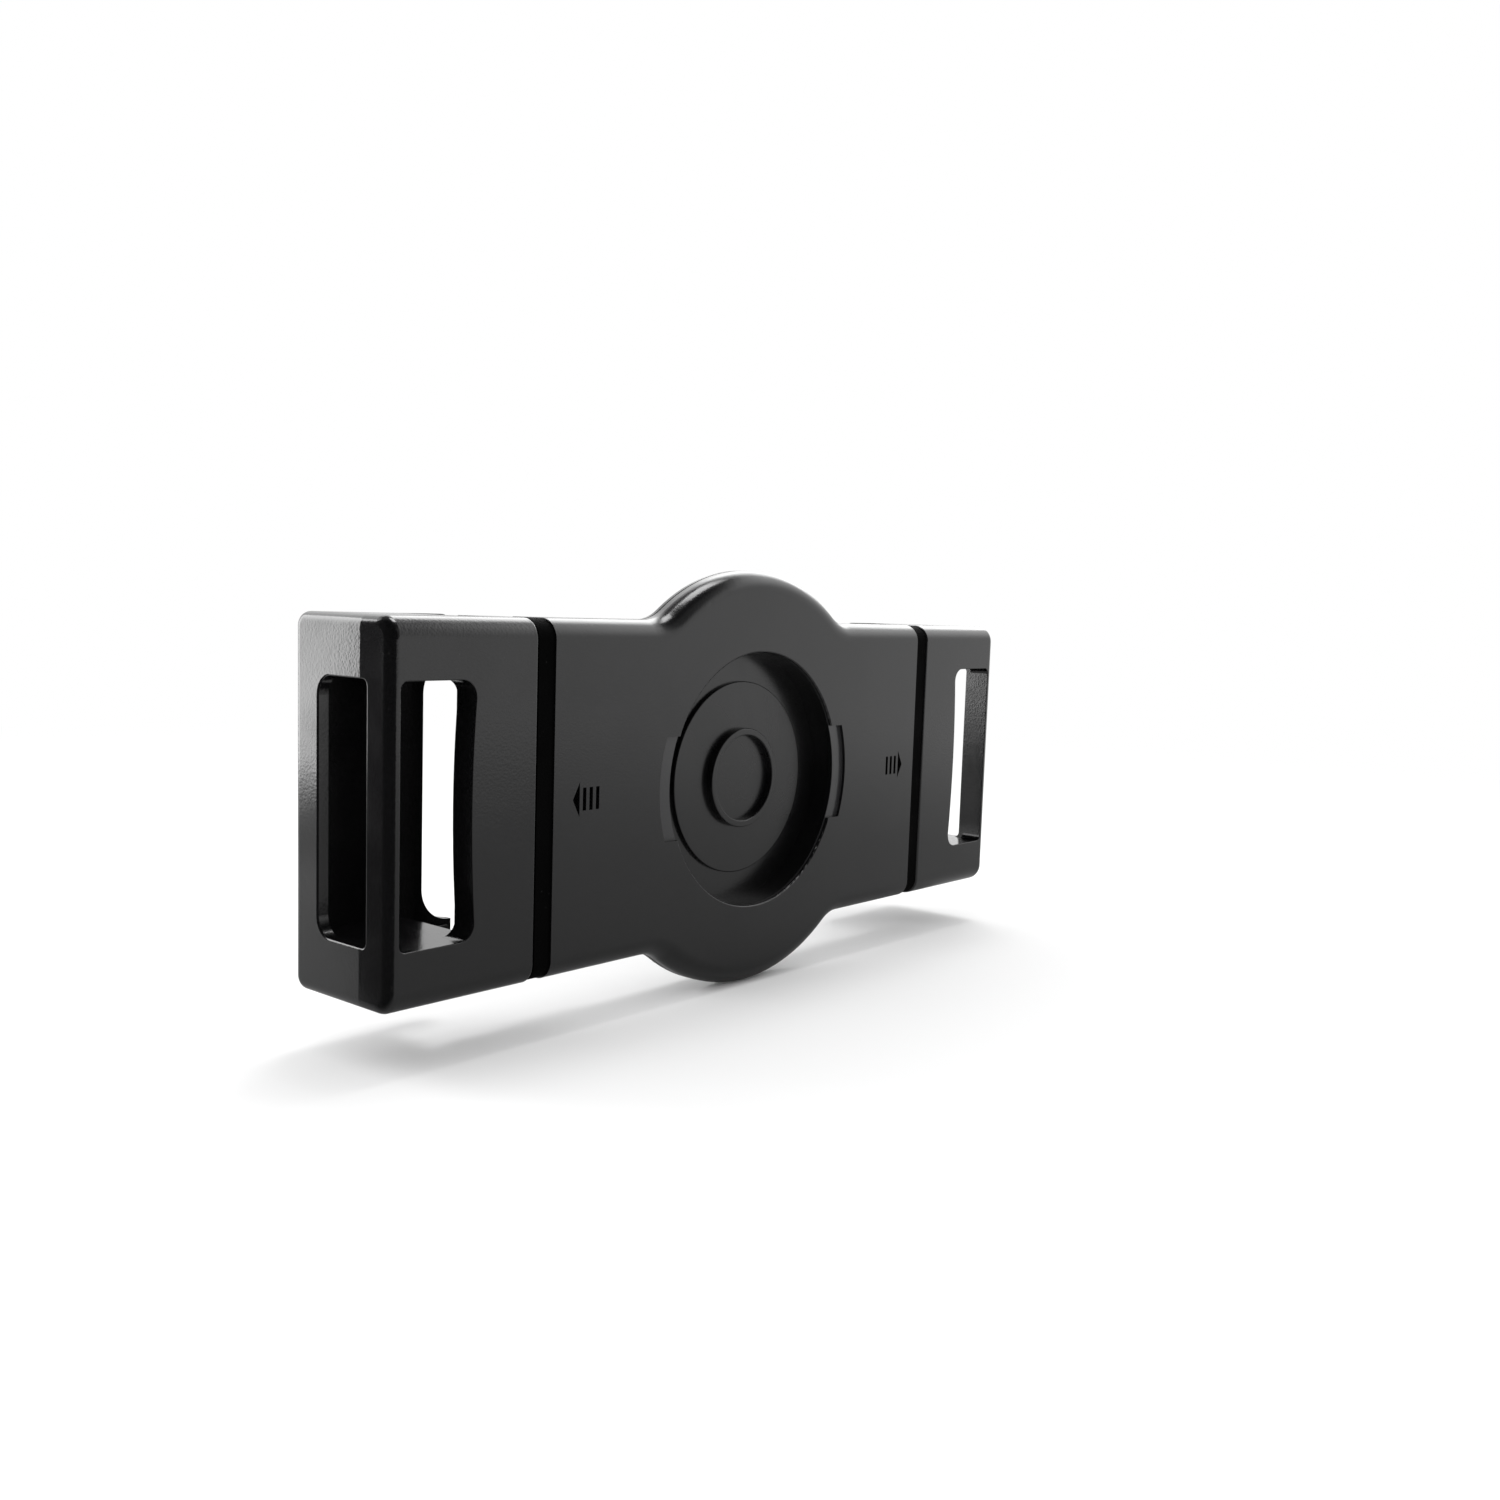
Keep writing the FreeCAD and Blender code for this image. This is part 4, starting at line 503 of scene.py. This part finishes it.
# Pinion's pin: turned steel, pressed into the front plate, its head sunk below the plate's face,
# with a broken edge and the lathe's centre dimple.
pin_low, pin_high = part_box("pinion_pin")
PIN_SHANK, PIN_HEAD = 2.95 * MM, pin_high[0]
PIN_SEAT, PIN_TOP = 13.3 * MM, pin_high[1]
PIN_TIP_BEVEL, PIN_SEAT_BEVEL, PIN_TOP_BEVEL = 0.4 * MM, 0.15 * MM, 0.30 * MM
PIN_KNEE_IN, PIN_KNEE_DOWN = 0.08 * MM, 0.09 * MM
DIMPLE_RIM, DIMPLE_RADIUS, DIMPLE_LIP, DIMPLE_DEPTH = 2.2 * MM, 2.05 * MM, 0.06 * MM, 0.45 * MM


def turned_surface(profile, around):
    """Solid of revolution about Y: the profile's (radius, height) pairs carried round a circle."""
    radius, height = np.array(profile).T
    angle = np.linspace(0.0, 2.0 * np.pi, around, endpoint=False)
    points = np.stack([radius[:, None] * np.cos(angle), height[:, None] + 0.0 * angle,
                       radius[:, None] * np.sin(angle)], -1)
    return points.reshape(-1, 3), ring_faces(len(radius), around)


pin_steel = metal_finish("pin_steel", colour=(0.20, 0.20, 0.205), streaked=(0.30, 0.30, 0.305),
                         dull=0.38, bright=0.26, per_metre=(420.0, 420.0, 420.0))
pin_profile = [(0.0, pin_low[1]), (PIN_SHANK - PIN_TIP_BEVEL, pin_low[1]),
               (PIN_SHANK, pin_low[1] + PIN_TIP_BEVEL), (PIN_SHANK, PIN_SEAT),
               (PIN_HEAD - PIN_SEAT_BEVEL, PIN_SEAT), (PIN_HEAD, PIN_SEAT + PIN_SEAT_BEVEL),
               (PIN_HEAD, PIN_TOP - PIN_TOP_BEVEL),
               (PIN_HEAD - PIN_KNEE_IN, PIN_TOP - PIN_KNEE_DOWN),
               (PIN_HEAD - PIN_TOP_BEVEL, PIN_TOP), (DIMPLE_RIM, PIN_TOP),
               (DIMPLE_RADIUS, PIN_TOP - DIMPLE_LIP)]
pin_profile += [(DIMPLE_RADIUS * (1.0 - way),
                 PIN_TOP - (DIMPLE_LIP + DIMPLE_DEPTH * math.sin(way * math.pi / 2.0)))
                for way in np.linspace(0.0, 1.0, 10)[1:]]
pin = add_piece("turned_pin", *turned_surface(pin_profile, 96), pin_steel, "body", "pinion_pin")


# Rubber: four pads on the front plate and the liners of the jaws' end webs and fingers, glued
# into place. The pads have a low rounded edge and fine ribs across the pull of the jaws.
PAD_LONG, PAD_TALL, PAD_EDGE = 22.0 * MM, 12.0 * MM, 0.5 * MM
RIB_PITCH, RIB_DEPTH = 2.0 * MM, 0.3 * MM


def ribbed_pad(low, high):
    """Closed pad on an X-Z face, from low to high in Y.

    Two parameters: the turn round the pad, on a superellipse of the sixth power, and the way
    from the middle of the face over the edge to the middle of the back. The height is the
    thickness, less a quarter circle at the edge, less a cosine of X that makes the ribs."""
    around, steps, power = 160, 72, 6
    face_end, edge_share, side_end, back_start = 0.82, 0.12, 0.945, 0.95
    ribs_end, ribs_fade = 0.78, 0.05
    turn = np.linspace(0.0, 2.0 * np.pi, around, endpoint=False)[None, :]
    way = np.linspace(0.0, 1.0, steps)[:, None]
    cos, sin = np.cos(turn), np.sin(turn)
    rim = (np.abs(cos) ** power + np.abs(sin) ** power) ** (-1.0 / power)
    over = np.clip((way - face_end) / edge_share, 0.0, 1.0) * np.pi / 2.0
    inset = PAD_EDGE * (1.0 - np.sin(over))
    share = np.where(way > back_start, (1.0 - way) / (1.0 - back_start),
                     np.clip(way / face_end, 0.0, 1.0))
    centre_x, centre_z = (low[0] + high[0]) / 2.0, (low[2] + high[2]) / 2.0
    x = ((high[0] - low[0]) / 2.0 - inset) * share * rim * cos
    z = ((high[2] - low[2]) / 2.0 - inset) * share * rim * sin
    ribs = RIB_DEPTH * (0.5 - 0.5 * np.cos(2.0 * np.pi * x / RIB_PITCH))
    ribs = ribs * np.clip((ribs_end - way) / ribs_fade, 0.0, 1.0)
    height = high[1] - PAD_EDGE * (1.0 - np.cos(over)) - ribs
    height = np.where(way > side_end, low[1], height)
    points = np.stack([centre_x + x, height, centre_z + z], -1)
    return points.reshape(-1, 3), ring_faces(steps, around)


pad_rubber = moulded_finish("pad_rubber", colour=(0.006, 0.006, 0.0062),
                            worn=(0.012, 0.012, 0.0122), dull=0.62, polished=0.48,
                            grain=0.5 * MM, depth=0.03 * MM, specular=0.4)
dress(pad_rubber, "right_jaw_liners", "left_jaw_liners")
pad_low, pad_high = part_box("front_pads")
four_pads = [ribbed_pad((x, pad_low[1], z), (x + PAD_LONG, pad_high[1], z + PAD_TALL))
             for x in (pad_low[0], pad_high[0] - PAD_LONG)
             for z in (pad_low[2], pad_high[2] - PAD_TALL)]
pads = add_piece("ribbed_pads", *join_surfaces(four_pads), pad_rubber, "body", "front_pads")


# Floor: a pale sheet just under the hub, fading to white away from the object. Reflections see
# it darker, and nearly black left of a line that starts at the left jaw: painted dark reflection.
FLOOR_DROP, FLOOR_HALF = 0.2 * MM, 6.0
FLOOR_COLOUR, FLOOR_MIRRORED = (0.88, 0.88, 0.88), (0.38, 0.38, 0.38)
DARK_REFLECTION_COLOUR, DARK_REFLECTION_NORMAL = (0.02, 0.02, 0.02), (0.822, 0.569, 0.0)
DARK_REFLECTION_OFFSET, DARK_REFLECTION_FADE, DARK_REFLECTION_END_X, DARK_REFLECTION_END_FADE = 0.092, 0.006, -0.115, 0.01
WHITE_STARTS, WHITE_FULL = 0.2, 0.75

level = cad_box[0][2] - FLOOR_DROP
floor_mesh = bpy.data.meshes.new("studio_floor")
floor_mesh.from_pydata([(-FLOOR_HALF, -FLOOR_HALF, level), (FLOOR_HALF, -FLOOR_HALF, level),
                        (FLOOR_HALF, FLOOR_HALF, level), (-FLOOR_HALF, FLOOR_HALF, level)],
                       [], [(0, 1, 2, 3)])
floor = bpy.data.objects.new("studio_floor", floor_mesh)
bpy.context.scene.collection.objects.link(floor)
floor_paint, tree, paint = new_material("floor_paint")
floor_mesh.materials.append(floor_paint)
paint.inputs["Roughness"].default_value = 0.9
paint.inputs["Specular IOR Level"].default_value = 0.1
rays = add_node(tree, "ShaderNodeLightPath").outputs
place = add_node(tree, "ShaderNodeTexCoord").outputs["Object"]
# Painted dark reflection: reflection rays see the floor nearly black left of a line from the left
# jaw.
across = calculate_vector(tree, "DOT_PRODUCT", "Value", place, DARK_REFLECTION_NORMAL)
past_line = ramp(tree, across, -DARK_REFLECTION_OFFSET - DARK_REFLECTION_FADE, -DARK_REFLECTION_OFFSET + DARK_REFLECTION_FADE)
past_end = ramp(tree, split(tree, place)["X"], DARK_REFLECTION_END_X - DARK_REFLECTION_END_FADE, DARK_REFLECTION_END_X + DARK_REFLECTION_END_FADE)
outside_painted_dark = calculate(tree, "MAXIMUM", past_line, past_end)
mirrored = mixed(tree, outside_painted_dark, DARK_REFLECTION_COLOUR, FLOOR_MIRRORED)
feed(tree, mixed(tree, rays["Is Glossy Ray"], FLOOR_COLOUR, mirrored), paint.inputs["Base Color"])
away = ramp(tree, calculate_vector(tree, "LENGTH", "Value", place), WHITE_STARTS, WHITE_FULL)
mirrored_outside_dark = calculate(tree, "MULTIPLY", rays["Is Glossy Ray"], outside_painted_dark)
shown_white = calculate(tree, "MAXIMUM", rays["Is Camera Ray"], mirrored_outside_dark)
white = add_node(tree, "ShaderNodeEmission")
fading = add_node(tree, "ShaderNodeMixShader")
tree.links.new(calculate(tree, "MULTIPLY", away, shown_white), fading.inputs["Fac"])
tree.links.new(paint.outputs[0], fading.inputs[1])
tree.links.new(white.outputs[0], fading.inputs[2])
tree.links.new(fading.outputs[0], tree.nodes["Material Output"].inputs["Surface"])


# Room: plain white for the camera and for the light it gives. Reflections see more of a studio:
# a dark end wall, a ceiling that is brighter than the walls but for a dark zenith and a dark
# canopy high behind the mount, and a high window beyond its right end.
END_WALL_WAY, END_WALL_EDGE, END_WALL_LIGHT = (-0.90, -0.43, 0.0), (0.17, 0.22), 0.02
CEILING_EDGE, CEILING_LIGHT = (0.22, 0.6), 2.2
ZENITH_EDGE, ZENITH_LIGHT = (0.66, 0.86), 0.12
CANOPY_WAY, CANOPY_EDGE, CANOPY_LIGHT = (-0.20, -0.66, 0.72), (0.5, 0.75), 0.1
WINDOW_WAY, WINDOW_EDGE, WINDOW_LIGHT = (0.76, 0.40, 0.51), (0.93, 0.97), 3.0


def toward(tree, ray, way, edge, outside, inside):
    """Number that goes from outside to inside as the ray comes nearer to a way."""
    nearness = calculate_vector(tree, "DOT_PRODUCT", "Value", ray, way)
    return ramp(tree, nearness, *edge, outside, inside)


world = bpy.data.worlds.new("studio_room")
bpy.context.scene.world = world
world.use_nodes = True
tree = world.node_tree
room = tree.nodes["Background"]
room.inputs["Color"].default_value = (1.0, 1.0, 1.0, 1.0)
ray = add_node(tree, "ShaderNodeTexCoord").outputs["Generated"]
rise = split(tree, ray)["Z"]
end_wall = toward(tree, ray, END_WALL_WAY, END_WALL_EDGE, 1.0, END_WALL_LIGHT)
ceiling = ramp(tree, rise, *CEILING_EDGE, 1.0, CEILING_LIGHT)
zenith = ramp(tree, rise, *ZENITH_EDGE, 1.0, ZENITH_LIGHT)
canopy = toward(tree, ray, CANOPY_WAY, CANOPY_EDGE, 1.0, CANOPY_LIGHT)
window = toward(tree, ray, WINDOW_WAY, WINDOW_EDGE, 0.0, WINDOW_LIGHT)
above = calculate(tree, "MULTIPLY", ceiling, calculate(tree, "MULTIPLY", zenith, canopy))
mirrored = calculate(tree, "ADD", calculate(tree, "MULTIPLY", end_wall, above), window)
glossy = add_node(tree, "ShaderNodeLightPath").outputs["Is Glossy Ray"]
feed(tree, mixed(tree, glossy, 1.0, mirrored, "FLOAT"), room.inputs["Strength"])


# Lamps: a soft box close to the left jaw's end face, and one high above that draws the highlight
# on the hub's shoulder.
def soft_box(name, place, target, width, height, power):
    """Rectangular lamp that looks at a point and isn't seen by the camera."""
    lamp = bpy.data.lights.new(name, "AREA")
    lamp.shape = "RECTANGLE"
    lamp.size = width
    lamp.size_y = height
    lamp.energy = power
    obj = bpy.data.objects.new(name, lamp)
    obj.location = place
    obj.rotation_euler = (Vector(target) - Vector(place)).to_track_quat("-Z", "Y").to_euler()
    obj.visible_camera = False
    bpy.context.scene.collection.objects.link(obj)


soft_box("lamp_left", place=(-0.1968, 0.2548, 0.096), target=(-0.1399, 0.1726, 0.096),
         width=0.149, height=0.24, power=0.50)
soft_box("lamp_above", place=(0.30, 0.10, 1.1), target=(0.0, 0.0, 0.0),
         width=0.45, height=0.45, power=4.8)


# Camera: a 34 mm lens, a little above the mount, behind it and beyond its left end, turned
# slightly about its own axis.
CAMERA_PLACE = (-0.2718, -0.2227, 0.0422)
YAW, PITCH, ROLL = math.radians(49.92), math.radians(6.01), math.radians(1.86)
ahead = Vector((math.sin(YAW) * math.cos(PITCH), math.cos(YAW) * math.cos(PITCH),
                -math.sin(PITCH)))
right = Vector((math.cos(YAW), -math.sin(YAW), 0.0))
up = right.cross(ahead)
right_rolled = right * math.cos(ROLL) + up * math.sin(ROLL)
up_rolled = up * math.cos(ROLL) - right * math.sin(ROLL)
lens = bpy.data.cameras.new("camera")
lens.sensor_width = 36.0
lens.lens = 34.27
lens.shift_x = 0.00567
lens.shift_y = 0.00547
lens.clip_start = 0.01
camera = bpy.data.objects.new("camera", lens)
facing = Matrix((right_rolled, up_rolled, -ahead)).transposed().to_4x4()
camera.matrix_world = Matrix.Translation(CAMERA_PLACE) @ facing
bpy.context.scene.collection.objects.link(camera)
bpy.context.scene.camera = camera
bpy.context.scene.view_settings.view_transform = "Standard"
